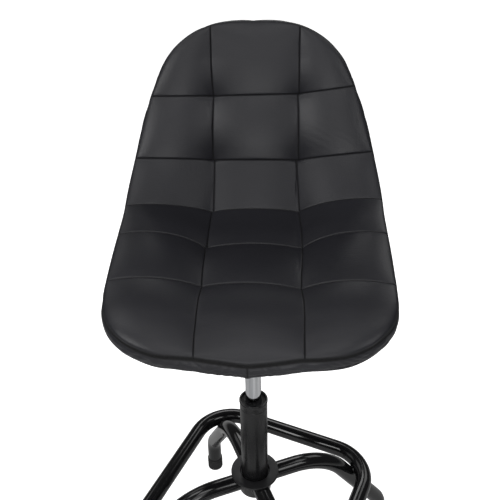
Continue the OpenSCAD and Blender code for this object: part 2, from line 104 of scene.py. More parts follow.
# How far the lengthwise seams rise midway along each of the six rows, and how high the padding stands there
LENGTH_LIFT = (5.0, 4.5, 3.5, 4.0, 4.0, 4.0)
PAD_HEIGHT_MID = (7.5, 6.5, 5.5, 6.5, 8.0, 9.0)
PAD_HEIGHT_SIDE = (14.0, 8.5, 5.5, 6.5, 8.5, 9.5)
PAD_FULLNESS = 0.8
# Where each row is fullest along its length: 1 in the middle, less nearer its front or lower seam
PAD_LEAN = (1.0, 1.0, 1.0, 0.9, 0.72, 0.75)
# Breadth of the padding's roll-over along the rim, and how much broader it is round the front, up to where
RIM_ROUND, RIM_ROUND_FRONT, RIM_FRONT_REACH = 30.0, 26.0, 130.0
# Dimples where seams cross, by cross seam: in front of or below a seam, that share of them is a steep step
DIMPLE_DEPTH, DIMPLE_REACH, DIMPLE_STEP, STEP_REACH = (1.5, 2.0, 3.5, 7.0, 7.0), 15.0, 0.55, 2.5
# The narrow crease along every seam and how broad the painted shade along it is, and the groove along the
# rim seam
CREASE_DEPTH, CREASE_WIDTH, SEAM_SHADE = 1.6, 0.9, 0.95
RIM_GROOVE, RIM_GROOVE_WIDTH = 4.2, 1.5
# The rim seam's wander: places along the rim from the front's middle, and how far it lies inside the outline
RIM_WANDER = ((-300.0, 0.0), (-231.0, 1.2), (-179.0, -0.8), (-150.0, -2.4), (-128.0, -3.2), (-104.0, 0.0),
              (-76.0, 1.2), (-37.0, 0.6), (0.0, -1.4), (35.0, -0.5), (70.0, 0.8), (100.0, -1.5),
              (142.0, -4.5), (168.0, -3.0), (198.0, -1.5), (233.0, -1.5), (300.0, 0.0))
# Cloth simulation of the sheet: pressure, slack, cap on each point's travel, frames and bending stiffness,
# then rounds of smoothing; the sheet starts with this share of its padding, on a grid of this spacing
CLOTH_STIFFNESS = 12.0
SWELL_PRESSURE, SWELL_SLACK, SWELL_CAP, SWELL_FRAMES, SWELL_BENDING = 4.0, 0.0, 9.0, 20, 6.0
SWELL_SMOOTHING, SWELL_START, SWELL_GRID = 6, 0.55, 7.0
# Finest and coarsest spacing of the visible sheet's grid
SHEET_FINE, SHEET_COARSE = 0.6, 3.2
# Small puckers along the seams
PUCKER = 0.09
# Gathers in the cover: middle (t, s), slant, pitch, reach and height
GATHERS = ((-25.0, 559.0, -0.64, 8.0, 13.0, 0.9), (140.0, 500.0, 1.1, 12.0, 34.0, 0.26),
           (-84.0, 552.0, 0.3, 6.5, 12.0, 0.40), (-118.0, 444.0, 0.1, 8.0, 22.0, 0.30),
           (62.0, 340.0, 0.5, 7.0, 14.0, 0.35), (-60.0, 128.0, 0.7, 7.0, 14.0, 0.30))
# How the cushion tucks in under the rim seam: how far in, and at what depth below the surface
TUCKS = ((1.4, 5.6), (3.0, 6.4), (3.2, 9.0), (3.4, FOAM_BOTTOM))
# The cushion's underside runs in towards the middle line between these arc lengths, in these steps
SPINE_FROM, SPINE_TO, UNDERSIDE_STEPS = 120.0, 600.0, (0.06, 0.2, 0.4, 0.6, 0.8, 0.92)

# Side band: points round the rim and across it, and its cloth's pressure, slack, cap, frames and bending
BAND_AROUND, BAND_ACROSS = 900, 19
BAND_PRESSURE, BAND_SLACK, BAND_CAP, BAND_FRAMES, BAND_BENDING = 2.0, 0.004, 1.8, 16, 0.6
# How far it lies inside the outline, where its upper edge starts, and how far it reaches down and bows out
BAND_INSET, BAND_START, BAND_DROP, BAND_BOW = 2.2, 4.6, SEAT_THICK - 4.2, 4.0
# Its join in the middle of the front: how deep its line is, and how much lower the band hangs there
JOIN_DEPTH, JOIN_WIDTH, JOIN_TAB, TAB_WIDTH = 0.9, 1.6, 3.0, 4.5
# Gathers: place along the rim, reach, pitch, slant and height
BAND_GATHERS = ((-36.0, 17.0, 12.5, 1.4, 0.9), (-9.0, 9.0, 8.0, -0.7, 0.5), (29.0, 15.0, 11.5, -1.2, 0.45),
                (146.0, 20.0, 13.0, -1.4, 0.5), (-158.0, 30.0, 23.0, 1.3, 0.35),
                (214.0, 34.0, 27.0, -1.0, 0.35))
# Long folds: middle and reach along the rim, level from 0 above to 1 below, climb and depth
BAND_FOLDS = ((46.0, 58.0, 0.56, -0.0012, 1.1), (-62.0, 48.0, 0.60, 0.0016, 0.8),
              (-178.0, 52.0, 0.42, -0.002, 0.7), (186.0, 46.0, 0.45, 0.002, 0.7))

# Base: tubes, legs, footrest ring, hub, foot caps and welds
TUBE_R, BASE_TURN = 16.0, 22.3
LEG_LEVEL, LEG_RUN, LEG_SLOPE, KNEE_R, ANKLE_R, FOOT_REACH = 288.0, 80.5, 55.0, 133.0, 60.0, 290.0
RING_HALF, RING_CORNER_R, RING_LEVEL = 187.5, 79.0, 223.5
KNEE_POINTS, SLOPE_POINTS, ANKLE_POINTS = 22, 14, 20
SOCKET_R, CAP_WALL, CAP_FLOOR, CAP_H = 31.0, 1.8, 5.0, 32.0
WELD_R, WELD_RIPPLE, WELD_PASS = 2.3, 0.28, 2.6
FLANGE_R, FLANGE_BORE = 46.0, 28.0
COLUMN_R, COLUMN_BORE, BUSH_BORE = 25.0, 22.4, 14.05
# Gas cylinder: radius, bore, radius and length of its upper taper, and radius of the socket round the taper
CYLINDER_R, CYLINDER_BORE, TAPER_R, TAPER_LEN, TAPER_SOCKET_R = 14.0, 12.0, 13.2, 56.0, 20.0
# Lever grip: its ends from the pivot along the lever, the lever's slope in degrees, and the pivot and rod
GRIP_FROM, GRIP_TO, LEVER_SLOPE, PIVOT_X, PIN_R, LEVER_ROD_R = 102.0, 178.0, 12.0, -22.0, 5.0, 4.5

# Studio: the floor's reach in millimetres and its rows of points, how bright it looks to the camera and how
# much it glows, and light from the surround; the softboxes aim at LIT_POINT from that distance, in metres
FLOOR_REACH, FLOOR_ROWS = 14000, 13
FLOOR_SEEN, FLOOR_GLOW, SURROUND = 1.1, 0.0, 0.06
LIT_POINT, LIGHT_DISTANCE, BOX_SIDE = (0.0, 0.0, 0.75), 2.4, 1.0
# Softboxes round the chair: azimuth from the front towards +X, elevation and power
SOFTBOXES = (
    ("overhead", 0, 90, 2.5), ("front_high", 0, 60, 6.0), ("front", 0, 30, 3.5), ("front_low", 0, 5, 9.0),
    ("right_high", 90, 60, 4.0), ("left_high", -90, 60, 6.0), ("left", -90, 30, 1.5), ("rear", 180, 30, 7.0),
    ("front_right", 45, 30, 7.0), ("front_left", -45, 30, 14.0), ("rear_right", 135, 30, 4.0),
    ("rear_left", -135, 30, 2.0),
)


# ---------------------------------------------------------------- seat surface

def sheet_angle(s):
    """Angle of the centre line above the horizontal at arc length s."""
    bend = BACK_ANGLE * np.clip((s - BEND_START) / BEND_LEN, 0, 1)
    return np.where(s < LIP_LEN, LIP_ANGLE * (1 - s / LIP_LEN), bend)


def centre_line(s):
    """y and z of the centre line at arc length s."""
    a = sheet_angle(s)
    over = np.maximum(0, s - BACK_START)
    lip_y, lip_z = PAN_FRONT_Y - LIP_R * np.sin(a), PAN_LEVEL - LIP_R * (1 - np.cos(a))
    back_y = PAN_FRONT_Y + PAN_LEN + BEND_R * np.sin(a) + over * math.cos(BACK_ANGLE)
    back_z = PAN_LEVEL + BEND_R * (1 - np.cos(a)) + over * math.sin(BACK_ANGLE)
    y = np.where(s < LIP_LEN, lip_y, np.where(s < BEND_START, PAN_FRONT_Y + s - LIP_LEN, back_y))
    z = np.where(s < LIP_LEN, lip_z, np.where(s < BEND_START, PAN_LEVEL, back_z))
    return y, z


def end_round(d, length, power):
    """0 at an end of the outline and 1 from that length inwards."""
    d = np.clip(d, 0, length)
    return (1 - (1 - d / length) ** power) ** (1 / power)


def broad_half(s):
    """Half of the sheet's width, apart from the rounding of its ends."""
    top, front = np.maximum(0, s - TOP_TAPER_S), np.maximum(0, FRONT_TAPER_S - s)
    return HALF_WIDTH - TOP_TAPER * top ** 2 - FRONT_TAPER * front ** 2


def half_width(s):
    """Half of the sheet's width at arc length s."""
    front = end_round(s, FRONT_ROUND_LEN, FRONT_ROUND_N)
    return broad_half(s) * front * end_round(SEAT_LEN - s, TOP_ROUND_LEN, TOP_ROUND_N)


def edge_rise(s):
    """Rise of the sheet's edges above its centre line."""
    return EDGE_RISE + HIP_RISE * np.exp(-((s - HIP_S) / HIP_REACH) ** 2)


def smooth_step(x):
    """0 below 0, 1 above 1, and a smooth rise between."""
    x = np.clip(x, 0, 1)
    return x * x * (3 - 2 * x)


def side_lift(t, s, soft):
    """Rise of the sheet's side parts at distance t from the middle; soft is the padded section, not the
    shell's."""
    part = np.clip((np.abs(t) - CREASE_X) / (broad_half(s) - CREASE_X), 0, 1)
    lift = edge_rise(s) * (part * (2 - part) if soft else part ** 1.7)
    at_end = 1 - smooth_step(np.minimum(s, SEAT_LEN - s) / END_REACH)
    scallop = edge_rise(s) * np.clip(np.abs(t) / CREASE_X, 0, 1) ** 1.2
    return np.where(np.abs(t) < CREASE_X, lift + at_end * scallop, lift + at_end * (edge_rise(s) - lift))


def surface(t, s, d=0.0, soft=True):
    """Points of the layer at distance d along the sheet's thickness."""
    y, z = centre_line(s)
    a = np.where(s < BEND_START, 0, sheet_angle(s))
    lift = side_lift(t, s, soft) + d
    return np.stack([t, y - np.sin(a) * lift, z + np.cos(a) * lift], -1)


# ---------------------------------------------------------------- mesh building

def mesh_object(name, verts, faces, material, body):
    """An object from vertices in millimetres, with its material and body."""
    mesh = bpy.data.meshes.new(name)
    place = AXIS if body else 0
    corners = (np.asarray(verts, float) * MM + place).tolist()
    mesh.from_pydata(corners, [], [list(map(int, f)) for f in faces])
    mesh.materials.append(material)
    mesh.polygons.foreach_set("use_smooth", [True] * len(mesh.polygons))
    mesh.update()
    obj = bpy.data.objects.new(name, mesh)
    bpy.context.scene.collection.objects.link(obj)
    if body:
        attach(obj, body)
    return obj


def grid_faces(rows, cols, first=0, closed=False, flip=False):
    """Quads of a grid of vertices stored row by row; closed joins its last column to its first."""
    i, j = np.meshgrid(np.arange(rows - 1), np.arange(cols if closed else cols - 1), indexing="ij")
    k = (j + 1) % cols
    quads = np.stack([i * cols + j, i * cols + k, (i + 1) * cols + k, (i + 1) * cols + j], -1)
    quads = quads.reshape(-1, 4) + first
    return quads[:, ::-1] if flip else quads


def graded(length, fine, coarse, growth=1.45):
    """Fractions 0 to 1 along a length, finely spaced at both ends."""
    steps, step = [], fine
    while 2 * sum(steps) < length * 0.9 and step < coarse:
        steps.append(step)
        step *= growth
    rest = length - 2 * sum(steps)
    middle = max(2, int(round(rest / coarse)))
    spacing = np.array(steps + [rest / middle] * middle + steps[::-1])
    return np.concatenate([[0], np.cumsum(spacing)]) / spacing.sum()


ROUND_STEPS = 4


def round_profile(points, radius, closed):
    """A profile's corners replaced by arcs of that radius, or smaller where its sides are short."""
    pts = [np.array(p, float) for p in points]
    out, n = [], len(pts)
    for i in range(n):
        if not closed and i in (0, n - 1):
            out.append(pts[i])
            continue
        before, here, after = pts[i - 1], pts[i], pts[(i + 1) % n]
        u, v = before - here, after - here
        lu, lv = np.linalg.norm(u), np.linalg.norm(v)
        cos_turn = np.clip(u @ v / (lu * lv), -1, 1)
        if cos_turn < -0.999 or here[0] < 1e-6:
            out.append(here)
            continue
        half = math.acos(cos_turn) / 2
        cut = min(radius / math.tan(half), 0.45 * lu, 0.45 * lv)
        a, b = here + u / lu * cut, here + v / lv * cut
        for f in np.linspace(0, 1, ROUND_STEPS + 1):
            out.append((1 - f) ** 2 * a + 2 * f * (1 - f) * here + f * f * b)
    return out


def lathe(name, profile, material, body, radius=0.6, segments=96, at=(0, 0, 0), axis=None):
    """A turned piece from (r, z) points; one that starts and ends on the axis is a solid of revolution."""
    solid = profile[0][0] < 1e-6 and profile[-1][0] < 1e-6
    pts = np.array(round_profile(profile, radius, closed=not solid))
    turn = np.linspace(0, 2 * math.pi, segments, endpoint=False)
    ring = pts[1:-1] if solid else pts
    verts = np.stack([np.outer(ring[:, 0], np.cos(turn)), np.outer(ring[:, 0], np.sin(turn)),
                      np.outer(ring[:, 1], np.ones(segments))], -1).reshape(-1, 3)
    if solid:
        faces = grid_faces(len(ring), segments, closed=True).tolist()
        n = len(verts)
        verts = np.vstack([verts, [0, 0, pts[0, 1]], [0, 0, pts[-1, 1]]])
        last = (len(ring) - 1) * segments
        for k in range(segments):
            m = (k + 1) % segments
            faces.append([n, m, k])
            faces.append([n + 1, last + k, last + m])
    else:
        faces = (grid_faces(len(ring) + 1, segments, closed=True) % len(verts)).tolist()
    if axis is not None:
        turn_to = Vector((0, 0, 1)).rotation_difference(Vector(axis)).to_matrix()
        verts = verts @ np.array(turn_to).T
    obj = mesh_object(name, verts + np.array(at, float), faces, material, body)
    outward_normals(obj)
    return obj


def outward_normals(obj, sharp=math.radians(40)):
    """Consistent outward faces, smooth except across edges sharper than that angle."""
    bm = bmesh.new()
    bm.from_mesh(obj.data)
    bmesh.ops.recalc_face_normals(bm, faces=bm.faces)
    for e in bm.edges:
        e.smooth = not (len(e.link_faces) == 2 and e.calc_face_angle(0) > sharp)
    bm.to_mesh(obj.data)
    bm.free()


def sweep(name, path, radius, material, body, segments, closed=False):
    """A round tube along a path; radius may be one number or one per point."""
    path = np.asarray(path, float)
    n = len(path)
    radii = np.full(n, radius, float) if np.isscalar(radius) else np.asarray(radius, float)
    ahead = np.roll(path, -1, 0) - np.roll(path, 1, 0)
    if not closed:
        ahead[0], ahead[-1] = path[1] - path[0], path[-1] - path[-2]
    ahead /= np.linalg.norm(ahead, axis=1)[:, None]
    side = np.cross(ahead[0], [0, 0, 1.0])
    if np.linalg.norm(side) < 0.1:
        side = np.cross(ahead[0], [0, 1.0, 0])
    side /= np.linalg.norm(side)
    turn = np.linspace(0, 2 * math.pi, segments, endpoint=False)
    verts = []
    for p, d, r in zip(path, ahead, radii):
        side = side - d * (side @ d)
        side /= np.linalg.norm(side)
        up = np.cross(d, side)
        verts.append(p + r * (np.outer(np.cos(turn), side) + np.outer(np.sin(turn), up)))
    verts = np.concatenate(verts)
    if closed:
        faces = (grid_faces(n + 1, segments, closed=True) % len(verts)).tolist()
    else:
        faces = grid_faces(n, segments, closed=True).tolist()
        faces += [list(range(segments))[::-1], list(range(len(verts) - segments, len(verts)))]
    obj = mesh_object(name, verts, faces, material, body)
    outward_normals(obj, math.radians(50))
    return obj


# ---------------------------------------------------------------- materials

def node_material(name, color, rough, metallic=0.0, specular=0.5, coat=0.0, coat_rough=0.1):
    """A Principled material and its object coordinates, in metres."""
    mat = bpy.data.materials.new(name)
    mat.use_nodes = True
    shader = mat.node_tree.nodes["Principled BSDF"]
    even = {"Base Color": (*color, 1), "Roughness": rough, "Metallic": metallic,
            "Specular IOR Level": specular, "Coat Weight": coat, "Coat Roughness": coat_rough}
    for socket, value in even.items():
        shader.inputs[socket].default_value = value
    return mat, shader, add_node(mat, "TexCoord", {}, "Object")


def add_node(mat, kind, inputs, output=0, **settings):
    """Adds a node and returns its output. An input is a number, a colour or the output that feeds it."""
    node = mat.node_tree.nodes.new("ShaderNode" + kind)
    for setting, value in settings.items():
        setattr(node, setting, value)
    for socket, value in inputs.items():
        if isinstance(value, bpy.types.NodeSocket):
            mat.node_tree.links.new(value, node.inputs[socket])
        else:
            node.inputs[socket].default_value = value
    return node.outputs[output]


def stretched(mat, coords, scale):
    """Coordinates scaled by different amounts along x, y and z."""
    return add_node(mat, "Mapping", {"Vector": coords, "Scale": scale}, "Vector")


def noise(mat, coords, scale, detail=3.0, rough=0.5, distortion=0.0):
    """Cloudy noise from 0 to 1."""
    return add_node(mat, "TexNoise", {"Vector": coords, "Scale": scale, "Detail": detail, "Roughness": rough,
                                      "Distortion": distortion}, "Fac")


def cells(mat, coords, scale, feature="F1"):
    """Distance from the middles of random cells."""
    return add_node(mat, "TexVoronoi", {"Vector": coords, "Scale": scale, "Randomness": 1.0}, "Distance",
                    feature=feature)


def mapped(mat, value, low, high, from_low=0.0, from_high=1.0):
    """A value moved from one range to another, clamped."""
    return add_node(mat, "MapRange", {"Value": value, "From Min": from_low, "From Max": from_high,
                                      "To Min": low, "To Max": high}, "Result")


def blended(mat, value, first, second):
    """A colour between two, by a value from 0 to 1; the first may be a colour or a node's output."""
    first = (*first, 1) if isinstance(first, tuple) else first
    return add_node(mat, "Mix", {0: value, 6: first, 7: (*second, 1)}, 2, data_type="RGBA")


def bump(mat, shader, height, depth, strength=1.0, below=None):
    """Bump of that depth in metres, on top of another bump's normal."""
    inputs = {"Distance": depth, "Strength": strength, "Height": height}
    if below is not None:
        inputs["Normal"] = below
    normal = add_node(mat, "Bump", inputs, "Normal")
    mat.node_tree.links.new(normal, shader.inputs["Normal"])
    return normal


def dressed(mat, shader, tone, colors, grain, roughness, relief=None, depth=0.0, strength=1.0):
    """The material with its colour, roughness and bump driven by their patterns."""
    mat.node_tree.links.new(blended(mat, tone, *colors), shader.inputs["Base Color"])
    mat.node_tree.links.new(mapped(mat, grain, *roughness, 0.3, 0.7), shader.inputs["Roughness"])
    if relief is not None:
        bump(mat, shader, relief, depth, strength)
    return mat


def leather_material():
    """Black imitation leather: pebbled grain with fine creases, duller in the seams and darkened there with
    painted shade.
    """
    mat, shader, at = node_material("black_leather_fine_grain", (0.016, 0.016, 0.020), 0.40)
    links = mat.node_tree.links
    # The seam attribute is painted shade: it takes the base colour near to black along the seams, the rim
    # groove and the tucks, and raises the roughness there.
    seam = add_node(mat, "Attribute", {}, "Fac", attribute_name="seam")
    skin = blended(mat, noise(mat, at, 9.0, 2.0), (0.0130, 0.0130, 0.0166), (0.0190, 0.0190, 0.0240))
    links.new(blended(mat, seam, skin, (0.0015, 0.0015, 0.002)), shader.inputs["Base Color"])
    pores = noise(mat, at, 700.0, 4.0, 0.6)
    rough = {0: mapped(mat, pores, 0.34, 0.46, 0.3, 0.7), 1: mapped(mat, seam, 0.0, 0.45)}
    links.new(add_node(mat, "Math", rough, operation="ADD"), shader.inputs["Roughness"])
    creases = noise(mat, stretched(mat, at, (75.0, 330.0, 330.0)), 1.0, 4.0, 0.6, 0.7)
    first = bump(mat, shader, creases, 0.00040, 0.50)
    second = bump(mat, shader, cells(mat, at, 1150.0, "SMOOTH_F1"), 0.00010, 0.30, first)
    bump(mat, shader, pores, 0.00006, 0.25, second)
    return mat


def gloss_paint_material():
    """Gloss black powder coat with faint orange peel."""
    mat, shader, at = node_material("gloss_black_powder_coat", (0.006, 0.006, 0.007), 0.13, coat=0.4,
                                    coat_rough=0.05)
    colors = (0.0050, 0.0050, 0.0056), (0.0078, 0.0078, 0.0086)
    return dressed(mat, shader, noise(mat, at, 25.0, 2.0), colors, noise(mat, at, 140.0), (0.10, 0.17),
                   noise(mat, at, 330.0, 2.0), 0.00006, 0.30)


def column_paint_material():
    """The same black powder coat, duller on the ground column tube."""
    mat, shader, at = node_material("semi_gloss_black_powder_coat", (0.008, 0.008, 0.009), 0.26)
    colors = (0.0065, 0.0065, 0.0072), (0.0095, 0.0095, 0.0104)
    grinding = noise(mat, stretched(mat, at, (60.0, 60.0, 12.0)), 1.0)
    return dressed(mat, shader, noise(mat, at, 25.0, 2.0), colors, grinding, (0.24, 0.29),
                   noise(mat, at, 330.0, 2.0), 0.00003, 0.15)


def satin_paint_material():
    """Satin black powder coat with a fine texture."""
    mat, shader, at = node_material("satin_black_powder_coat", (0.012, 0.012, 0.013), 0.38)
    colors = (0.0100, 0.0100, 0.0110), (0.0150, 0.0150, 0.0165)
    return dressed(mat, shader, noise(mat, at, 30.0, 2.0), colors, noise(mat, at, 180.0), (0.32, 0.45),
                   noise(mat, at, 1100.0, 3.0, 0.6), 0.00008, 0.45)


def chrome_material():
    """Ground and polished chrome with faint lengthwise streaks in roughness and bump; its colour streaks
    from dark to light are painted reflection.
    """
    mat, shader, at = node_material("polished_chrome", (0.80, 0.81, 0.83), 0.08, metallic=1.0)
    # Painted reflection: this noise also sets the base colour in dark and light streaks, standing in for
    # reflections of the surroundings.
    grinding_and_reflection_streaks = noise(mat, stretched(mat, at, (150.0, 150.0, 2.0)), 1.0)
    colors = (0.40, 0.41, 0.43), (0.90, 0.91, 0.93)
    return dressed(mat, shader, mapped(mat, grinding_and_reflection_streaks, 0.0, 1.0, 0.36, 0.62), colors, grinding_and_reflection_streaks, (0.05, 0.13),
                   grinding_and_reflection_streaks, 0.00002, 0.25)


def zinc_material():
    """Zinc-plated steel with a mottled, slightly yellow sheen."""
    mat, shader, at = node_material("zinc_plated_steel", (0.55, 0.56, 0.57), 0.34, metallic=1.0)
    colors = (0.50, 0.51, 0.52), (0.62, 0.62, 0.59)
    return dressed(mat, shader, cells(mat, at, 260.0), colors, noise(mat, at, 300.0, 4.0), (0.26, 0.46),
                   noise(mat, at, 1500.0), 0.00003, 0.4)


def brass_material():
    """Pressed brass with a brushed finish."""
    mat, shader, at = node_material("pressed_brass", (0.70, 0.50, 0.20), 0.3, metallic=1.0)
    brush = noise(mat, stretched(mat, at, (1200.0, 80.0, 80.0)), 1.0)
    return dressed(mat, shader, brush, ((0.62, 0.43, 0.16), (0.78, 0.57, 0.26)), brush, (0.24, 0.42))


def plastic_material():
    """Black injection-moulded plastic with a fine spark texture."""
    mat, shader, at = node_material("black_moulded_plastic", (0.016, 0.016, 0.017), 0.5)
    colors = (0.013, 0.013, 0.014), (0.020, 0.020, 0.021)
    return dressed(mat, shader, noise(mat, at, 40.0, 2.0), colors, noise(mat, at, 500.0), (0.44, 0.58),
                   noise(mat, at, 2200.0, 2.0), 0.00005, 0.6)


def rubber_material():
    """Moulded black rubber, dull, with a faint bloom."""
    mat, shader, at = node_material("moulded_black_rubber", (0.018, 0.018, 0.018), 0.62)
    bloom = noise(mat, at, 70.0, 4.0, 0.6)
    colors = (0.013, 0.013, 0.013), (0.028, 0.028, 0.028)
    return dressed(mat, shader, bloom, colors, bloom, (0.52, 0.74), noise(mat, at, 1600.0), 0.00006, 0.5)


def plywood_material():
    """Pressed beech plywood: long grain with fine pores."""
    mat, shader, at = node_material("pressed_beech_plywood", (0.55, 0.38, 0.22), 0.55)
    grain = noise(mat, stretched(mat, at, (12.0, 160.0, 160.0)), 1.0, 5.0, 0.6, 0.8)
    colors = (0.42, 0.27, 0.14), (0.66, 0.48, 0.29)
    return dressed(mat, shader, grain, colors, grain, (0.45, 0.65), grain, 0.0002, 0.3)


def seen_directly(mat):
    """1 where the background is seen directly and 0 in reflections and bounced light."""
    return add_node(mat, "LightPath", {}, "Is Camera Ray")


def floor_material():
    """Pale studio floor, lit enough to read as white."""
    mat, shader, at = node_material("pale_floor", (0.80, 0.80, 0.80), 0.9, specular=0.1)
    tone = blended(mat, noise(mat, at, 1.5, 2.0), (0.79, 0.79, 0.79), (0.81, 0.81, 0.81))
    mat.node_tree.links.new(tone, shader.inputs["Base Color"])
    shader.inputs["Emission Color"].default_value = (1, 1, 1, 1)
    seen = mapped(mat, seen_directly(mat), FLOOR_GLOW, FLOOR_SEEN)
    mat.node_tree.links.new(seen, shader.inputs["Emission Strength"])
    return mat


# ---------------------------------------------------------------- quilted seat

END_POINTS, SIDE_POINTS = 240, 300


def outline_half():
    """The outline's right half as dense (t, s) points from its front to its top, with their arc lengths."""
    e = np.linspace(0, 1, END_POINTS)
    front = FRONT_ROUND_LEN * (1 - (1 - e ** FRONT_ROUND_N) ** (1 / FRONT_ROUND_N))
    top = SEAT_LEN - TOP_ROUND_LEN * (1 - (1 - e ** TOP_ROUND_N) ** (1 / TOP_ROUND_N))
    side = np.linspace(FRONT_ROUND_LEN, SEAT_LEN - TOP_ROUND_LEN, SIDE_POINTS)[1:-1]
    s = np.concatenate([front, side, top[::-1]])
    points = np.stack([half_width(s), s], 1)
    points[[0, -1], 0] = 0
    arc = np.concatenate([[0], np.cumsum(np.linalg.norm(np.diff(points, axis=0), axis=1))])
    return points, arc


OUTLINE, OUTLINE_ARC = outline_half()
HALF_LOOP = OUTLINE_ARC[-1]


def outline_at(arc):
    """(t, s) on the outline at a signed arc length from the front's middle, positive on the +X side."""
    arc = np.asarray(arc, float)
    wrapped = (arc + HALF_LOOP) % (2 * HALF_LOOP) - HALF_LOOP
    t = np.sign(wrapped) * np.interp(np.abs(wrapped), OUTLINE_ARC, OUTLINE[:, 0])
    return np.stack([t, np.interp(np.abs(wrapped), OUTLINE_ARC, OUTLINE[:, 1])], -1)


def rim_seam(arc):
    """(t, s) on the rim seam, which wanders off the outline along the front."""
    x, y = np.array(RIM_WANDER).T
    wander = np.interp(arc, x, y)
    for reach in (4.0, 8.0):
        wander = (wander + np.interp(arc - reach, x, y) + np.interp(arc + reach, x, y)) / 3
    before, after = outline_at(np.asarray(arc) - 1.0), outline_at(np.asarray(arc) + 1.0)
    ahead = (after - before) / np.linalg.norm(after - before, axis=-1, keepdims=True)
    return outline_at(arc) + wander[..., None] * np.stack([-ahead[..., 1], ahead[..., 0]], -1)


def arc_of_s(s):
    """Arc length along the outline at which it reaches s."""
    return float(np.interp(s, OUTLINE[:, 1], OUTLINE_ARC))


def arc_of_front(t):
    """Arc length along the outline's front at distance t from the middle."""
    return float(np.interp(t, OUTLINE[:END_POINTS, 0], OUTLINE_ARC[:END_POINTS]))


def arc_of_top(t):
    """Arc length along the outline's top at distance t from the middle."""
    return float(np.interp(t, OUTLINE[-END_POINTS:, 0][::-1], OUTLINE_ARC[-END_POINTS:][::-1]))


def seam_row(k, c, fractions):
    """Points of cross seam k over panel column c, where seams 0 and ROWS are the outline's ends."""
    t_from, t_to = PANEL_EDGES[c:c + 2]
    if k in (0, ROWS):
        corner = arc_of_s(SEAT_LEN - TOP_CORNER_D if k else FRONT_CORNER_S)
        arc_of = arc_of_top if k else arc_of_front
        ends = [math.copysign(corner if abs(t) == HALF_WIDTH else arc_of(abs(t)), t) for t in (t_from, t_to)]
        if k == 0:
            return rim_seam(ends[0] + (ends[1] - ends[0]) * fractions)
        ends = [math.copysign(HALF_LOOP - abs(a), a) for a in ends]
        b = ends[0] + (ends[1] - ends[0]) * fractions
        return outline_at(np.where(b < 0, -1, 1) * (HALF_LOOP - np.abs(b)))
    s0, s1 = CROSS_SEAMS[k - 1][c:c + 2]
    t0 = -half_width(s0) if c == 0 else t_from
    t1 = half_width(s1) if c == COLUMNS - 1 else t_to
    return np.stack([t0 + (t1 - t0) * fractions, s0 + (s1 - s0) * fractions], -1)


def seam_side(r, sign, fractions):
    """Points of the outline along row r on one side."""
    crossed = [seam[-1 if sign > 0 else 0] for seam in CROSS_SEAMS]
    stops = [FRONT_CORNER_S] + crossed + [SEAT_LEN - TOP_CORNER_D]
    a, b = arc_of_s(stops[r]), arc_of_s(stops[r + 1])
    return rim_seam(sign * (a + (b - a) * fractions))


def coons(bottom, top, left, right, u, v):
    """The patch inside four boundary curves."""
    u, v = u[None, :, None], v[:, None, None]
    sides = (1 - v) * bottom[None] + v * top[None] + (1 - u) * left[:, None] + u * right[:, None]
    corners = (1 - u) * (1 - v) * bottom[0] + u * (1 - v) * bottom[-1]
    return sides - (corners + (1 - u) * v * top[0] + u * v * top[-1])


def quilt_layout(fine, coarse):
    """The seat sheet as one grid in (t, s), with each point's place in its panel, column and row."""
    stops = (0.0,) + tuple(seam[1] for seam in CROSS_SEAMS) + (SEAT_LEN,)
    us = [graded(b - a, fine, coarse) for a, b in zip(PANEL_EDGES, PANEL_EDGES[1:])]
    vs = [graded(b - a, fine, coarse) for a, b in zip(stops, stops[1:])]
    rows, where = [], []
    for r, v in enumerate(vs):
        blocks, places = [], []
        for c, u in enumerate(us):
            bottom, top = seam_row(r, c, u), seam_row(r + 1, c, u)
            left, right = [bottom[i] + (top[i] - bottom[i]) * v[:, None] for i in (0, -1)]
            if c == 0:
                left = seam_side(r, -1, v)
            if c == COLUMNS - 1:
                right = seam_side(r, 1, v)
            keep = slice(0, None if r == ROWS - 1 else -1), slice(0, None if c == COLUMNS - 1 else -1)
            blocks.append(coons(bottom, top, left, right, u, v)[keep])
            uu, vv = np.meshgrid(u, v)
            places.append(np.stack([uu, vv, np.full(uu.shape, c), np.full(uu.shape, r)], -1)[keep])
        rows.append(np.concatenate(blocks, 1))
        where.append(np.concatenate(places, 1))
    return np.concatenate(rows), np.concatenate(where)


def wandered(ts, where):
    """The layout with its lengthwise seams strayed sideways, as a cover sewn by hand has them."""
    out, quarters = ts.copy(), np.linspace(0, 1, 5)
    for r in range(ROWS):
        row = where[:, 0, 3] == r
        for t0, wander in ((SEAM_LEFT, WANDER_LEFT[r]), (SEAM_RIGHT, WANDER_RIGHT[r])):
            shift = np.interp(where[row, 0, 1], quarters, wander)
            out[row, :, 0] += shift[:, None] * np.exp(-((ts[row, :, 0] - t0) / WANDER_REACH) ** 2)
    return out


def surface_normals(ts, step=0.5):
    """Unit normals of the seat surface."""
    t, s = ts[..., 0], np.clip(ts[..., 1], step, SEAT_LEN - step)
    along_t = surface(t + step, s) - surface(t - step, s)
    along_s = surface(t, s + step) - surface(t, s - step)
    n = np.cross(along_t, along_s)
    return n / np.linalg.norm(n, axis=-1, keepdims=True)


def panel_distances(ts, panel):
    """Distance of each point from the first and the last boundary of its panel, along the grid's rows."""
    run = np.cumsum(np.linalg.norm(np.diff(ts, axis=1, prepend=ts[:, :1]), axis=-1), 1)
    count = int(panel.max()) + 1
    starts = [int(np.argmax(panel[0] == k)) for k in range(count)] + [ts.shape[1] - 1]
    first, last = np.zeros(run.shape), np.zeros(run.shape)
    for k in range(count):
        a, b = starts[k], starts[k + 1]
        cut = slice(a, b + 1 if k == count - 1 else b)
        first[:, cut] = run[:, cut] - run[:, a:a + 1]
        last[:, cut] = run[:, b:b + 1] - run[:, cut]
    return first, last


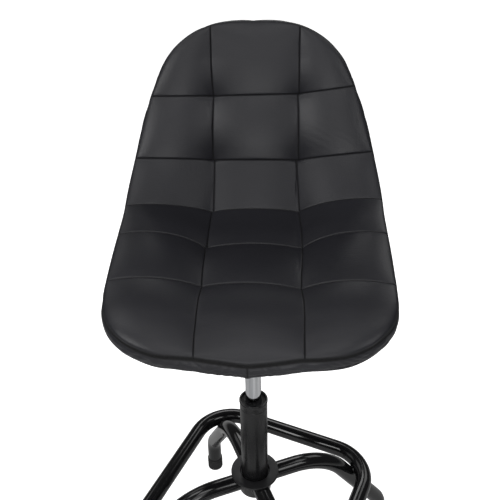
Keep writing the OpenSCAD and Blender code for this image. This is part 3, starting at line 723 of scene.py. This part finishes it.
def seam_distances(ts, where):
    """Distance of each point from its panel's left, right, front and rear boundaries."""
    left, right = panel_distances(ts, where[..., 2])
    front, rear = panel_distances(ts.transpose(1, 0, 2), where[..., 3].T)
    return left, right, front.T, rear.T


def rim_sides(where):
    """Where a point's panel has the rim on its left, right, front and rear."""
    c, r = where[..., 2], where[..., 3]
    return c == 0, c == COLUMNS - 1, r == 0, r == ROWS - 1


def rim_roll(distance, s):
    """Rise of the padding over the rim, from 0 at the rim seam to 1 inwards."""
    x = np.clip(distance / (RIM_ROUND + RIM_ROUND_FRONT * np.exp(-(s / RIM_FRONT_REACH) ** 2)), 0, 1)
    return np.sqrt(np.maximum(0, 1 - (1 - x) ** 2))


def crowned(x, low_open, high_open):
    """Cloth's crown across a panel from 0 to 1: it falls to 0 at a seam, but not where a side is open."""
    x = np.where(low_open, 0.5 + 0.5 * x, np.where(high_open, 0.5 * x, x))
    return np.maximum(0, 4 * x * (1 - x)) ** PAD_FULLNESS


def padding(ts, where, share=1.0):
    """Height of the quilted sheet above the seams' level: arched seams, and pillows between them."""
    u, v, c, r = [where[..., k] for k in range(4)]
    row, panel = r.astype(int), c.astype(int)
    at_left, at_right, at_front, at_rear = rim_sides(where)
    outer = (at_left & (u < 0.5)) | (at_right & (u > 0.5))
    arch = np.clip(np.sin(np.pi * u), 0, 1) ** np.where(outer, 0.6, 0.85)
    lifts = np.array([CROSS_LIFT_LEFT, CROSS_LIFT_MID, CROSS_LIFT_RIGHT])
    low, high = lifts[panel, row], lifts[panel, row + 1]
    along = np.take(LENGTH_LIFT, row) * np.sin(np.pi * v)
    inner_left, inner_right = np.where(at_left, 0, 1 - u), np.where(at_right, 0, u)
    arched = ((1 - v) * low + v * high) * arch + along * (inner_left + inner_right)
    pillow = crowned(u, at_left, at_right) * crowned(v ** np.take(PAD_LEAN, row), at_front, at_rear)
    for distance, at_rim in zip(seam_distances(ts, where), rim_sides(where)):
        pillow = pillow * np.where(at_rim, rim_roll(distance, ts[..., 1]), 1)
    height = np.where(c == 1, np.take(PAD_HEIGHT_MID, row), np.take(PAD_HEIGHT_SIDE, row))
    return arched + share * height * pillow


def seam_distance(ts, where, rim=False):
    """Distance of each point from the nearest inner seam, or from the rim seam."""
    far = 1e3
    return np.minimum.reduce([np.where(at_rim == rim, distance, far)
                              for distance, at_rim in zip(seam_distances(ts, where), rim_sides(where))])


def inflate(rest, faces, hold, pressure, slack, cap, frames, bending):
    """How far Blender's cloth moves each rest point as it swells, in millimetres and by no more than cap.
    hold is 1 where a point is sewn down and 0 where it is free."""
    obj = mesh_object("cloth_study", rest, faces, bpy.data.materials.new("cloth_study"), None)
    group = obj.vertex_groups.new(name="hold")
    for level in (0.0, 1.0):
        group.add(np.nonzero(hold == level)[0].tolist(), level, "REPLACE")
    cloth = obj.modifiers.new("Cloth", "CLOTH")
    put = cloth.settings
    put.quality, put.mass, put.air_damping = 6, 0.25, 4.0
    put.tension_stiffness = put.compression_stiffness = CLOTH_STIFFNESS
    put.shear_stiffness, put.bending_stiffness = CLOTH_STIFFNESS / 2, bending
    put.vertex_group_mass = "hold"
    put.use_pressure, put.uniform_pressure_force = True, pressure
    put.shrink_min = -slack
    put.effector_weights.gravity = 0
    cloth.collision_settings.use_collision = False
    cloth.point_cache.frame_start, cloth.point_cache.frame_end = 1, frames
    scene = bpy.context.scene
    for frame_number in range(1, frames + 1):
        scene.frame_set(frame_number)
    settled = obj.evaluated_get(bpy.context.evaluated_depsgraph_get()).to_mesh()
    moved = np.zeros(len(rest) * 3, np.float32)
    settled.vertices.foreach_get("co", moved)
    scene.frame_set(1)
    material = obj.data.materials[0]
    bpy.data.objects.remove(obj)
    bpy.data.materials.remove(material)
    shift = moved.reshape(-1, 3) / MM - rest
    size = np.linalg.norm(shift, axis=1, keepdims=True)
    print("cloth moved by up to", round(float(size.max()), 2), "mm, mean", round(float(size.mean()), 2))
    return shift * (cap * np.tanh(size / cap) / np.maximum(size, 1e-6))


def spread(values, coarse, fine):
    """Grid values moved smoothly from coarse to fine positions along the first axis."""
    x = np.interp(fine, coarse, np.arange(len(coarse)))
    i = np.clip(np.floor(x).astype(int), 0, len(coarse) - 2)
    f = (x - i).reshape(-1, *([1] * (values.ndim - 1)))
    at = [values[np.clip(i + k, 0, len(coarse) - 1)] for k in (-1, 0, 1, 2)]
    weights = (-0.5 * f + f ** 2 - 0.5 * f ** 3, 1 - 2.5 * f ** 2 + 1.5 * f ** 3,
               0.5 * f + 2 * f ** 2 - 1.5 * f ** 3, -0.5 * f ** 2 + 0.5 * f ** 3)
    return sum(w * a for w, a in zip(weights, at))


def grid_places(where):
    """Positions of a quilt grid's rows and columns, as panel number plus fraction."""
    return where[:, 0, 3] + where[:, 0, 1], where[0, :, 2] + where[0, :, 0]


def swelling():
    """The simulated sheet: places of its rows and columns, and how far each point moves."""
    ts, where = quilt_layout(SWELL_GRID, SWELL_GRID)
    rest = surface(ts[..., 0], ts[..., 1]) + surface_normals(ts) * padding(ts, where, SWELL_START)[..., None]
    sewn = np.minimum(seam_distance(ts, where), seam_distance(ts, where, rim=True)) < 0.5
    hold = np.where(sewn, 1.0, 0.0)
    rows, cols = ts.shape[:2]
    shift = inflate(rest.reshape(-1, 3), grid_faces(rows, cols), hold.reshape(-1), SWELL_PRESSURE,
                    SWELL_SLACK, SWELL_CAP, SWELL_FRAMES, SWELL_BENDING).reshape(rows, cols, 3)
    for _ in range(SWELL_SMOOTHING):
        around = np.pad(shift, ((1, 1), (1, 1), (0, 0)), "edge")
        mean = (around[2:, 1:-1] + around[:-2, 1:-1] + around[1:-1, 2:] + around[1:-1, :-2]) / 4
        shift = np.where(hold[..., None] > 0, shift, 0.5 * (shift + mean))
    return grid_places(where), shift


def puckers(ts, where):
    """Height of the small puckers along every seam, and of the gathers listed in GATHERS."""
    t, s = ts[..., 0], ts[..., 1]
    left, right, front, rear = seam_distances(ts, where)
    height = np.zeros(t.shape)
    for across, along, seed in ((front, t, 0.0), (rear, t, 1.7), (left, s, 3.1), (right, s, 4.4)):
        wave = np.sin(along * 0.42 + seed + 1.3 * np.sin(along * 0.071 + seed))
        wave = wave * np.sin(along * 0.023 + 2 * seed)
        height += PUCKER * wave * np.exp(-across / 9.0) * (1 - np.exp(-across / 2.0))
    for t0, s0, slant, pitch, reach, size in GATHERS:
        dt, ds = t - t0, s - s0
        fall = np.exp(-(dt / reach) ** 2 - (ds / (0.8 * reach)) ** 2)
        height += size * np.cos(2 * np.pi * (dt * math.cos(slant) + ds * math.sin(slant)) / pitch) * fall
    return height


def dimples(ts):
    """Depth of the hollows where the seams cross."""
    depth = np.zeros(ts.shape[:-1])
    for t0, crossing in ((SEAM_LEFT, 1), (SEAM_RIGHT, 2)):
        for seam, deepest in zip(CROSS_SEAMS, DIMPLE_DEPTH):
            s0 = seam[crossing]
            across, along = (ts[..., 0] - t0) / DIMPLE_REACH, ts[..., 1] - s0
            gentle = np.exp(-np.hypot(across, along / DIMPLE_REACH))
            steep = np.exp(-np.hypot(across, along / STEP_REACH))
            shape = np.where(along > 0, gentle, DIMPLE_STEP * steep + (1 - DIMPLE_STEP) * gentle)
            depth = np.maximum(depth, deepest * shape)
    return depth


def loop_of(rows, cols):
    """Indices of a grid's boundary, in order round it."""
    first = np.arange(cols)
    right = np.arange(1, rows) * cols + cols - 1
    last = (rows - 1) * cols + np.arange(cols - 2, -1, -1)
    left = np.arange(rows - 2, 0, -1) * cols
    return np.concatenate([first, right, last, left])


def inset_loop(loop, m):
    """A closed (t, s) loop moved inwards by m."""
    ahead = np.roll(loop, -2, 0) - np.roll(loop, 2, 0)
    ahead /= np.maximum(np.linalg.norm(ahead, axis=1, keepdims=True), 1e-6)
    return loop + m * np.stack([-ahead[:, 1], ahead[:, 0]], -1)


def inset_layer(loop, m, d, soft=True):
    """The surface along a (t, s) loop moved inwards by m, at distance d along its thickness."""
    return surface(*inset_loop(loop, m).T, d, soft)


def drawn_in(ts, m):
    """t and s of points drawn in from the whole outline by m."""
    return ts[..., 0] * (1 - m / HALF_WIDTH), m + ts[..., 1] * (SEAT_LEN - 2 * m) / SEAT_LEN


def paint_seam_shade(obj, painted_seam_shade):
    """Stores the painted shade along the seams at each point, which darkens the leather material's colour.
    """
    obj.data.attributes.new("seam", "FLOAT", "POINT").data.foreach_set("value", painted_seam_shade)


def quilted_sheet(ts, where):
    """Points of the padded sheet before its seams are pressed in, and their normals."""
    sewn = wandered(ts, where)
    normals = surface_normals(sewn)
    flat = surface(sewn[..., 0], sewn[..., 1])
    (coarse_rows, coarse_cols), shift = swelling()
    fine_rows, fine_cols = grid_places(where)
    shift = spread(shift, coarse_rows, fine_rows)
    shift = spread(shift.transpose(1, 0, 2), coarse_cols, fine_cols).transpose(1, 0, 2)
    return flat + normals * padding(ts, where, SWELL_START)[..., None] + shift, normals


def quilted_cushion(leather):
    """The padded front: its quilted sheet, tucked in at the rim seam and closed underneath on the shell."""
    ts, where = quilt_layout(SHEET_FINE, SHEET_COARSE)
    rows, cols = ts.shape[:2]
    seam, rim = seam_distance(ts, where), seam_distance(ts, where, rim=True)
    points, normals = quilted_sheet(ts, where)
    fine = puckers(ts, where) - CREASE_DEPTH * np.exp(-(seam / CREASE_WIDTH) ** 2) - dimples(ts)
    fine = fine - RIM_GROOVE * np.exp(-rim / RIM_GROOVE_WIDTH)
    points = points + normals * fine[..., None]
    loop = ts.reshape(-1, 2)[loop_of(rows, cols)]
    rings = [inset_layer(loop, m, -depth) for m, depth in TUCKS]
    base = inset_loop(loop, TUCKS[-1][0])
    spine = np.stack([np.zeros(len(base)), np.clip(base[:, 1], SPINE_FROM, SPINE_TO)], -1)
    for f in UNDERSIDE_STEPS:
        rings.append(surface(*(base + (spine - base) * f).T, -FOAM_BOTTOM, soft=False))
    verts = np.concatenate([points.reshape(-1, 3)] + rings)
    edge, n, count = loop_of(rows, cols), rows * cols, len(loop)
    after = np.roll(np.arange(count), -1)
    faces = np.concatenate([grid_faces(rows, cols),
                            np.stack([edge, n + np.arange(count), n + after, edge[after]], -1),
                            grid_faces(len(rings), count, n, closed=True)]).tolist()
    faces += zipped(count, cols, n + (len(rings) - 1) * count)
    obj = mesh_object("quilted_cushion", verts, faces, leather, "seat")
    # Painted shade: the tucked-in and underside rings are fully darkened, and the sheet is darkened along
    # its seams and rim seam.
    painted_seam_shade = np.ones(len(verts), np.float32)
    painted_seam_shade[:n] = np.exp(-(np.minimum(seam, 0.5 * rim) / SEAM_SHADE) ** 2).reshape(-1)
    paint_seam_shade(obj, painted_seam_shade)
    outward_normals(obj, math.pi)
    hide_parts("quilted_cover", "foam_pad")


def zipped(count, cols, first):
    """Faces that close a loop of that many points by joining its left and right halves."""
    faces, low, high = [], (cols - 1) // 2, cols // 2
    for k in range(count // 2):
        corners = [first + p % count for p in (low - k, high + k, high + k + 1, low - k - 1)]
        if len(set(corners)) > 2:
            faces.append(list(dict.fromkeys(corners)))
    return faces


def band_relief(arc, k):
    """How far the band stands out at level k, 0 above to 1 below, by its gathers, waves and folds."""
    ripple = 0.0
    for centre, reach, pitch, slant, size in BAND_GATHERS:
        near = np.exp(-((arc - centre) / reach) ** 2)
        ripple = ripple + size * near * np.cos(2 * np.pi * (arc - centre + slant * k * 24) / pitch)
    low = 0.25 * np.sin(arc * 0.11 + 2.2 * k) * np.sin(arc * 0.031 + 0.7)
    for centre, reach, start, climb, size in BAND_FOLDS:
        level = start + climb * (arc - centre) + 0.04 * np.sin(arc * 0.09)
        near = np.exp(-((arc - centre) / reach) ** 4)
        low = low - size * near * np.exp(-((k - level) / 0.07) ** 2)
    return ripple + low


def side_band(leather):
    """The strip wrapped round the rim, from the rim seam to the rear cover, with its join at the front."""
    count, across = BAND_AROUND, BAND_ACROSS
    arc = np.linspace(-HALF_LOOP, HALF_LOOP, count, endpoint=False)
    loop, upper = outline_at(arc), rim_seam(arc)
    layers = []
    join, tab = np.exp(-(arc / JOIN_WIDTH) ** 2), np.exp(-(arc / TAB_WIDTH) ** 2)
    for k in np.linspace(0, 1, across):
        bow = math.sin(math.pi * k) ** 0.55
        m = BAND_INSET - BAND_BOW * bow + JOIN_DEPTH * join
        d = -BAND_START - BAND_DROP * k - JOIN_TAB * k ** 4 * tab
        q = loop + (inset_loop(loop, 1.0) - loop) * (m - bow * band_relief(arc, k))[:, None]
        q = q + (upper - loop) * (1 - k) ** 1.5
        layers.append(surface(*q.T, d))
    rest = np.concatenate(layers)
    faces = grid_faces(across, count, closed=True)
    hold = np.repeat([1.0] + [0.0] * (across - 2) + [1.0], count)
    shift = inflate(rest, faces[:, ::-1], hold, BAND_PRESSURE, BAND_SLACK, BAND_CAP, BAND_FRAMES,
                    BAND_BENDING)
    layers = list((rest + shift).reshape(across, count, 3))
    for m, d in ((3.0, -SEAT_THICK - 1.0), (5.0, -SEAT_THICK - 0.6), (5.0, -SEAT_THICK + 0.2),
                 (2.2, -SEAT_THICK + 1.0), (2.6, -12.0), (3.0, -5.8)):
        layers.append(inset_layer(loop, m, d, soft=False))
    verts = np.concatenate(layers)
    rings = len(layers)
    faces = grid_faces(rings + 1, count, closed=True) % len(verts)
    obj = mesh_object("side_band_wrap", verts, faces, leather, "seat")
    outward_normals(obj, math.radians(70))
    # Painted shade: the band is darkened below the rim seam, along its lower edge and at the front join.
    shade = np.zeros((rings, count), np.float32)
    shade[0], shade[1], shade[2], shade[across - 1] = 1.0, 1.0, 0.4, 0.8
    shade[:across] = np.maximum(shade[:across], join[None])
    paint_seam_shade(obj, shade.reshape(-1))
    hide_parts("side_band")


def rear_cover(leather):
    """The smooth leather skin over the shell's back and underside."""
    ts = quilt_layout(SWELL_GRID, SWELL_GRID)[0]
    rows, cols = ts.shape[:2]
    t, s = drawn_in(ts, 3.0)
    soft_wave = 0.35 * np.sin(t * 0.05 + 1.3 * np.sin(s * 0.02)) * np.sin(s * 0.041)
    outer = surface(t, s, -SEAT_THICK - 0.6 - soft_wave, soft=False)
    inner = surface(t, s, -SEAT_THICK + 2.0, soft=False)
    edge, n = loop_of(rows, cols), rows * cols
    after = np.roll(edge, -1)
    faces = np.concatenate([grid_faces(rows, cols, flip=True), grid_faces(rows, cols, n),
                            np.stack([edge, edge + n, after + n, after], -1)])
    obj = mesh_object("rear_cover_skin", np.concatenate([outer.reshape(-1, 3), inner.reshape(-1, 3)]), faces,
                      leather, "seat")
    outward_normals(obj, math.radians(50))
    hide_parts("rear_cover")


def plywood_shell(plywood):
    """The pressed shell between the padding and the rear cover, with a rounded edge."""
    ts = quilt_layout(9.0, 9.0)[0]
    rows, cols = ts.shape[:2]
    n, edge = rows * cols, loop_of(rows, cols)
    loop, count = ts.reshape(-1, 2)[edge], len(edge)
    top, bottom, margin = -FOAM_BOTTOM - 0.6, -SEAT_THICK + 2.4, 6.5
    layers = [surface(*drawn_in(ts, margin), d, soft=False).reshape(-1, 3) for d in (top, bottom)]
    for f, d in ((0.6, top - 0.8), (1.0, top - 3.0), (1.0, bottom + 3.0), (0.6, bottom + 0.8)):
        layers.append(surface(*drawn_in(loop, margin - 1.5 * f), d, soft=False))
    rings = [edge] + [2 * n + k * count + np.arange(count) for k in range(4)] + [edge + n]
    faces = [grid_faces(rows, cols), grid_faces(rows, cols, n, flip=True)]
    for a, b in zip(rings, rings[1:]):
        faces.append(np.stack([a, b, np.roll(b, -1), np.roll(a, -1)], -1))
    obj = mesh_object("plywood_seat_shell", np.concatenate(layers), np.concatenate(faces), plywood, "seat")
    outward_normals(obj, math.radians(50))
    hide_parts("seat_shell")


# ---------------------------------------------------------------- base

def span(node):
    """A CAD node's lowest and highest corners in millimetres."""
    low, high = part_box(node)
    return np.array(low) / MM, np.array(high) / MM


def turned(points, degrees):
    """Points turned about the column's axis."""
    a = math.radians(degrees)
    x, y = points[:, 0].copy(), points[:, 1].copy()
    return np.stack([x * math.cos(a) - y * math.sin(a), x * math.sin(a) + y * math.cos(a), points[:, 2]], -1)


def leg_path():
    """A leg's centre line in its own plane, from the hub down to the cap's floor."""
    slope = math.radians(LEG_SLOPE)
    knee = np.radians(np.linspace(0, LEG_SLOPE, KNEE_POINTS))
    points = [(SOCKET_R - 3, LEG_LEVEL), (SOCKET_R + 20, LEG_LEVEL)]
    points += [(LEG_RUN + KNEE_R * math.sin(a), LEG_LEVEL - KNEE_R * (1 - math.cos(a))) for a in knee]
    start = np.array(points[-1])
    run = (FOOT_REACH - ANKLE_R * (1 - math.sin(slope)) - start[0]) / math.cos(slope)
    end = start + run * np.array([math.cos(slope), -math.sin(slope)])
    points += [tuple(start + (end - start) * f) for f in np.linspace(0, 1, SLOPE_POINTS)[1:-1]]
    centre = (FOOT_REACH - ANKLE_R, end[1] - ANKLE_R * math.cos(slope))
    ankle = np.radians(np.linspace(90 - LEG_SLOPE, 0, ANKLE_POINTS))
    points += [(centre[0] + ANKLE_R * math.cos(a), centre[1] + ANKLE_R * math.sin(a)) for a in ankle]
    points += [(FOOT_REACH, z) for z in np.linspace(centre[1], CAP_FLOOR, 8)[1:]]
    return np.array([(r, 0, z) for r, z in points])


def legs_and_caps(paint, rubber):
    """Four bent tubes, each with a rubber cap and a weld where it meets the hub."""
    path = leg_path()
    side, inside = TUBE_R + CAP_WALL, TUBE_R - 0.2
    cap = [(0, 0), (side - 1.5, 0), (side, 1.5), (side, CAP_H - 7.6), (side - 1.0, CAP_H - 6.6),
           (side - 1.0, CAP_H - 4.8), (side, CAP_H - 3.8), (side, CAP_H - 1.0), (side - 0.8, CAP_H),
           (inside, CAP_H), (inside, CAP_FLOOR), (0, CAP_FLOOR)]
    for k, name in enumerate(("right", "back", "left", "front")):
        turn = BASE_TURN + 90 * k
        leg = sweep("leg_tube_" + name, turned(path, turn), TUBE_R, paint, "base", 56)
        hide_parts("leg_" + name)
        foot = turned(np.array([[FOOT_REACH, 0, 0]]), turn)[0]
        boot = lathe("foot_boot_" + name, cap, rubber, "base", 0.7, 72, at=foot)
        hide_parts("foot_cap_" + name)
        weld_bead("hub_weld_" + name, hub_weld_path(turn), paint)
        weld_bead("ring_weld_" + name, ring_weld_path(turn), paint)


def weld_bead(name, path, paint):
    """A closed weld bead with the ripple of its passes."""
    lengths = np.linalg.norm(np.roll(path, -1, 0) - path, axis=1)
    run = np.concatenate([[0], np.cumsum(lengths)[:-1]])
    passes = max(6, round(lengths.sum() / WELD_PASS))
    radius = WELD_R + WELD_RIPPLE * np.abs(np.sin(np.pi * passes * run / lengths.sum()))
    sweep(name, path, radius, paint, "base", 14, closed=True)


def hub_weld_path(turn):
    """Where a leg's tube meets the hub socket, kept below the flange."""
    a = np.linspace(0, 2 * math.pi, 120, endpoint=False)
    y, z = TUBE_R * np.cos(a), TUBE_R * np.sin(a)
    x = np.sqrt(SOCKET_R ** 2 - y ** 2)
    return turned(np.stack([x, y, LEG_LEVEL + np.minimum(z, TUBE_R - 2.2)], -1), turn)


def ring_weld_path(turn):
    """Where the footrest ring's corner rests on a leg's slope."""
    reach = math.sqrt(2) * RING_HALF - (math.sqrt(2) - 1) * RING_CORNER_R
    corner = np.array([reach, 0, RING_LEVEL])
    slope = math.radians(LEG_SLOPE)
    down = np.array([math.cos(slope), 0, -math.sin(slope)])
    on_leg = leg_path()[KNEE_POINTS + 4]
    foot = on_leg + down * ((corner - on_leg) @ down)
    half = np.linalg.norm(corner - foot) / 2
    out = (corner - foot) / (2 * half)
    a = np.linspace(0, 2 * math.pi, 96, endpoint=False)
    touch = math.sqrt(max(TUBE_R ** 2 - half ** 2, 4.0))
    lift = 0.5 * (TUBE_R - half) * np.cos(2 * a)
    ring = (1.32 * touch + 1.0) * np.stack([np.cos(a), np.sin(a)], -1)
    across = np.array([0, 1.0, 0])
    points = foot + out * half + ring[:, :1] * across + ring[:, 1:] * down + lift[:, None] * out
    return turned(points, turn)


def footrest_ring(paint):
    """The square footrest with rounded corners, bent from one tube."""
    side = RING_HALF - RING_CORNER_R
    points = []
    for k in range(4):
        a0 = math.radians(90 * k)
        corner = np.array([[1, 1], [-1, 1], [-1, -1], [1, -1]][k]) * side
        for a in np.linspace(a0, a0 + math.pi / 2, 26):
            points.append((corner[0] + RING_CORNER_R * math.cos(a), corner[1] + RING_CORNER_R * math.sin(a)))
        ahead = np.array([[-1, 0], [0, -1], [1, 0], [0, 1]][k])
        end = np.array(points[-1])
        points += [tuple(end + ahead * 2 * side * f) for f in np.linspace(0, 1, 12)[1:-1]]
    path = turned(np.array([(x, y, RING_LEVEL) for x, y in points]), BASE_TURN - 45)
    ring = sweep("footrest_ring_tube", path, TUBE_R, paint, "base", 56, closed=True)
    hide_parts("footrest_ring")


def levels(node):
    """The heights of a CAD node's bottom and top."""
    low, high = span(node)
    return low[2], high[2]


def hub_and_column(paint, column_paint, satin, plastic):
    """The socket the legs are welded to, the flange over it, and the column tube with its plastic guide."""
    foot, hub_top = levels("hub_socket")
    profile = [(COLUMN_R - 1.0, foot), (SOCKET_R - 1, foot), (SOCKET_R, foot + 1), (SOCKET_R, hub_top),
               (COLUMN_R, hub_top)]
    socket = lathe("hub_socket_ring", profile, paint, "base", 0.8)
    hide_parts("hub_socket")
    foot, top = levels("hub_flange")
    profile = [(FLANGE_BORE, foot), (FLANGE_R, foot), (FLANGE_R, top), (FLANGE_BORE, top)]
    flange = lathe("hub_flange_disc", profile, satin, "base", 1.3, 128)
    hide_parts("hub_flange")
    foot, top = levels("column_tube")
    groove_r, lip_r = COLUMN_R - 0.35, COLUMN_R + 0.7
    profile = [(COLUMN_BORE, foot), (COLUMN_R - 0.8, foot), (COLUMN_R, hub_top), (COLUMN_R, top - 15.0),
               (groove_r, top - 14.5), (groove_r, top - 13.9), (COLUMN_R, top - 13.4), (COLUMN_R, top - 5.0),
               (lip_r, top - 4.0), (lip_r, top), (COLUMN_BORE, top)]
    tube = lathe("column_outer_tube", profile, column_paint, "base", 0.9, 128)
    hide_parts("column_tube")
    foot, top = levels("guide_bush")
    profile = [(BUSH_BORE, foot), (COLUMN_BORE, foot), (COLUMN_BORE, top), (18.6, top), (17.8, top - 1.2),
               (15.6, top - 1.2), (BUSH_BORE, top - 2.6)]
    bush = lathe("guide_bush_sleeve", profile, plastic, "base", 0.5)
    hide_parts("guide_bush")


def gas_lift(chrome, satin):
    """The polished cylinder and the socket that takes its taper."""
    foot, top = levels("gas_cylinder")
    pin_bore, floor = 4.05, top - 22.7
    profile = [(CYLINDER_BORE, foot), (CYLINDER_R, foot), (CYLINDER_R, top - TAPER_LEN), (TAPER_R, top),
               (pin_bore, top), (pin_bore, floor), (1.0, floor), (1.0, floor - 4),
               (CYLINDER_BORE, floor - 4)]
    tube = lathe("gas_cylinder_tube", profile, chrome, "seat", 0.8, 128)
    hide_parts("gas_cylinder")
    socket_foot, socket_top = levels("taper_socket")
    taper = (CYLINDER_R - TAPER_R) / TAPER_LEN
    wide, narrow = [TAPER_R + taper * (top - z) for z in (socket_foot, socket_top)]
    profile = [(wide, socket_foot), (TAPER_SOCKET_R, socket_foot), (TAPER_SOCKET_R, socket_top),
               (narrow, socket_top)]
    socket = lathe("taper_socket_tube", profile, satin, "seat", 1.0)
    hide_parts("taper_socket")


def lever_handle(plastic):
    """The moulded grip on the height lever, with finger rings near its neck."""
    pivot = (PIVOT_X, 0.0, levels("lever_pin")[0] + PIN_R)
    slope = math.radians(LEVER_SLOPE)
    along = (-math.cos(slope), 0.0, -math.sin(slope))
    start, end, bore = GRIP_FROM, GRIP_TO, LEVER_ROD_R
    profile = [(0, end - 12), (bore, end - 12), (bore, start), (7.2, start), (8.2, start + 2),
               (8.2, start + 9)]
    for k in range(4):
        z = start + 11 + 5 * k
        profile += [(7.4, z), (7.4, z + 1.4), (8.3 + 0.15 * k, z + 2.6), (8.3 + 0.15 * k, z + 3.8)]
    profile += [(9.1, start + 36), (9.5, end - 14), (8.9, end - 6), (7.0, end - 1.6), (4.0, end), (0, end)]
    grip = lathe("lever_grip_handle", profile, plastic, "lever", 0.6, 72, pivot, along)
    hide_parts("lever_grip")


# ---------------------------------------------------------------- studio

def camera_basis():
    """The camera's right, up and forward directions."""
    yaw, pitch, roll = (math.radians(a) for a in (CAMERA_YAW, CAMERA_PITCH, CAMERA_ROLL))
    right = Vector((math.cos(yaw), -math.sin(yaw), 0))
    ahead = Vector((math.sin(yaw) * math.cos(pitch), math.cos(yaw) * math.cos(pitch), -math.sin(pitch)))
    up = right.cross(ahead)
    tilted = right * math.cos(roll) - up * math.sin(roll)
    return tilted, right * math.sin(roll) + up * math.cos(roll), ahead


def add_camera():
    """The camera at the photograph's viewpoint."""
    right, up, ahead = camera_basis()
    data = bpy.data.cameras.new("camera")
    data.lens, data.sensor_width, data.clip_start, data.clip_end = CAMERA_LENS, 36.0, 0.05, 100.0
    camera = bpy.data.objects.new("camera", data)
    bpy.context.scene.collection.objects.link(camera)
    place = Matrix((right, up, -ahead)).transposed().to_4x4()
    place.translation = Vector(CAMERA_AT) + Vector(AXIS)
    camera.matrix_world = place
    bpy.context.scene.camera = camera


def softbox(name, azimuth, elevation, power):
    """A square softbox that faces the chair; the camera doesn't see it."""
    turn, rise = math.radians(azimuth), math.radians(elevation)
    away = Vector((math.sin(turn) * math.cos(rise), -math.cos(turn) * math.cos(rise), math.sin(rise)))
    data = bpy.data.lights.new(name + "_softbox", "AREA")
    data.shape, data.size, data.energy = "SQUARE", BOX_SIDE, power
    lamp = bpy.data.objects.new(name + "_softbox", data)
    bpy.context.scene.collection.objects.link(lamp)
    lamp.location = Vector(LIT_POINT) + LIGHT_DISTANCE * away
    lamp.rotation_euler = (-away).to_track_quat("-Z", "Y").to_euler()
    lamp.visible_camera = False


def studio():
    """A pale floor, a dim white surround and soft lights."""
    scene = bpy.context.scene
    scene.view_settings.view_transform = "Standard"
    world = bpy.data.worlds.new("studio")
    scene.world = world
    world.use_nodes = True
    glow = world.node_tree.nodes["Background"]
    glow.inputs["Color"].default_value = (1, 1, 1, 1)
    seen = mapped(world, seen_directly(world), SURROUND, 1.0)
    world.node_tree.links.new(seen, glow.inputs["Strength"])
    side = np.linspace(-FLOOR_REACH, FLOOR_REACH, FLOOR_ROWS)
    x, y = np.meshgrid(side, side)
    corners = np.stack([x, y, np.zeros(x.shape)], -1).reshape(-1, 3)
    floor = mesh_object("floor", corners, grid_faces(FLOOR_ROWS, FLOOR_ROWS), floor_material(), None)
    for box in SOFTBOXES:
        softbox(*box)


# ---------------------------------------------------------------- the chair

def repaint(materials):
    """Gives every CAD node a material, which shows where no detailed piece replaces it."""
    legs = ("right", "back", "left", "front")
    groups = {
        "zinc": ("column_base_plate", "lower_washer", "upper_washer", "piston_head", "retaining_clip",
                 "release_pin", "lever_pin", "lever_rod", "seat_bolts", "bolt_washers", "tee_nuts"),
        "chrome": ("piston_rod", "bearing_balls", "gas_cylinder"),
        "brass": ("bearing_cage",),
        "rubber": ("rubber_buffer", "plate_pads", *("foot_cap_" + leg for leg in legs)),
        "plastic": ("guide_bush", "rod_gland", "lever_grip"),
        "satin": ("hub_flange", "taper_socket", "bracket_channel", "seat_plate"),
        "gloss": ("footrest_ring", "hub_socket", "column_tube", *("leg_" + leg for leg in legs)),
        "plywood": ("seat_shell",),
        "leather": ("quilted_cover", "foam_pad", "side_band", "rear_cover"),
    }
    for key, names in groups.items():
        for name in names:
            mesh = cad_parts[name].data
            mesh.materials.clear()
            mesh.materials.append(materials[key])


def build_chair():
    """All the materials and all the detailed pieces."""
    materials = {"leather": leather_material(), "gloss": gloss_paint_material(),
                 "column": column_paint_material(), "satin": satin_paint_material(),
                 "chrome": chrome_material(), "zinc": zinc_material(), "brass": brass_material(),
                 "plastic": plastic_material(), "rubber": rubber_material(), "plywood": plywood_material()}
    repaint(materials)
    quilted_cushion(materials["leather"])
    side_band(materials["leather"])
    rear_cover(materials["leather"])
    plywood_shell(materials["plywood"])
    legs_and_caps(materials["gloss"], materials["rubber"])
    footrest_ring(materials["gloss"])
    hub_and_column(materials["gloss"], materials["column"], materials["satin"], materials["plastic"])
    gas_lift(materials["chrome"], materials["satin"])
    lever_handle(materials["plastic"])


build_chair()
studio()
add_camera()
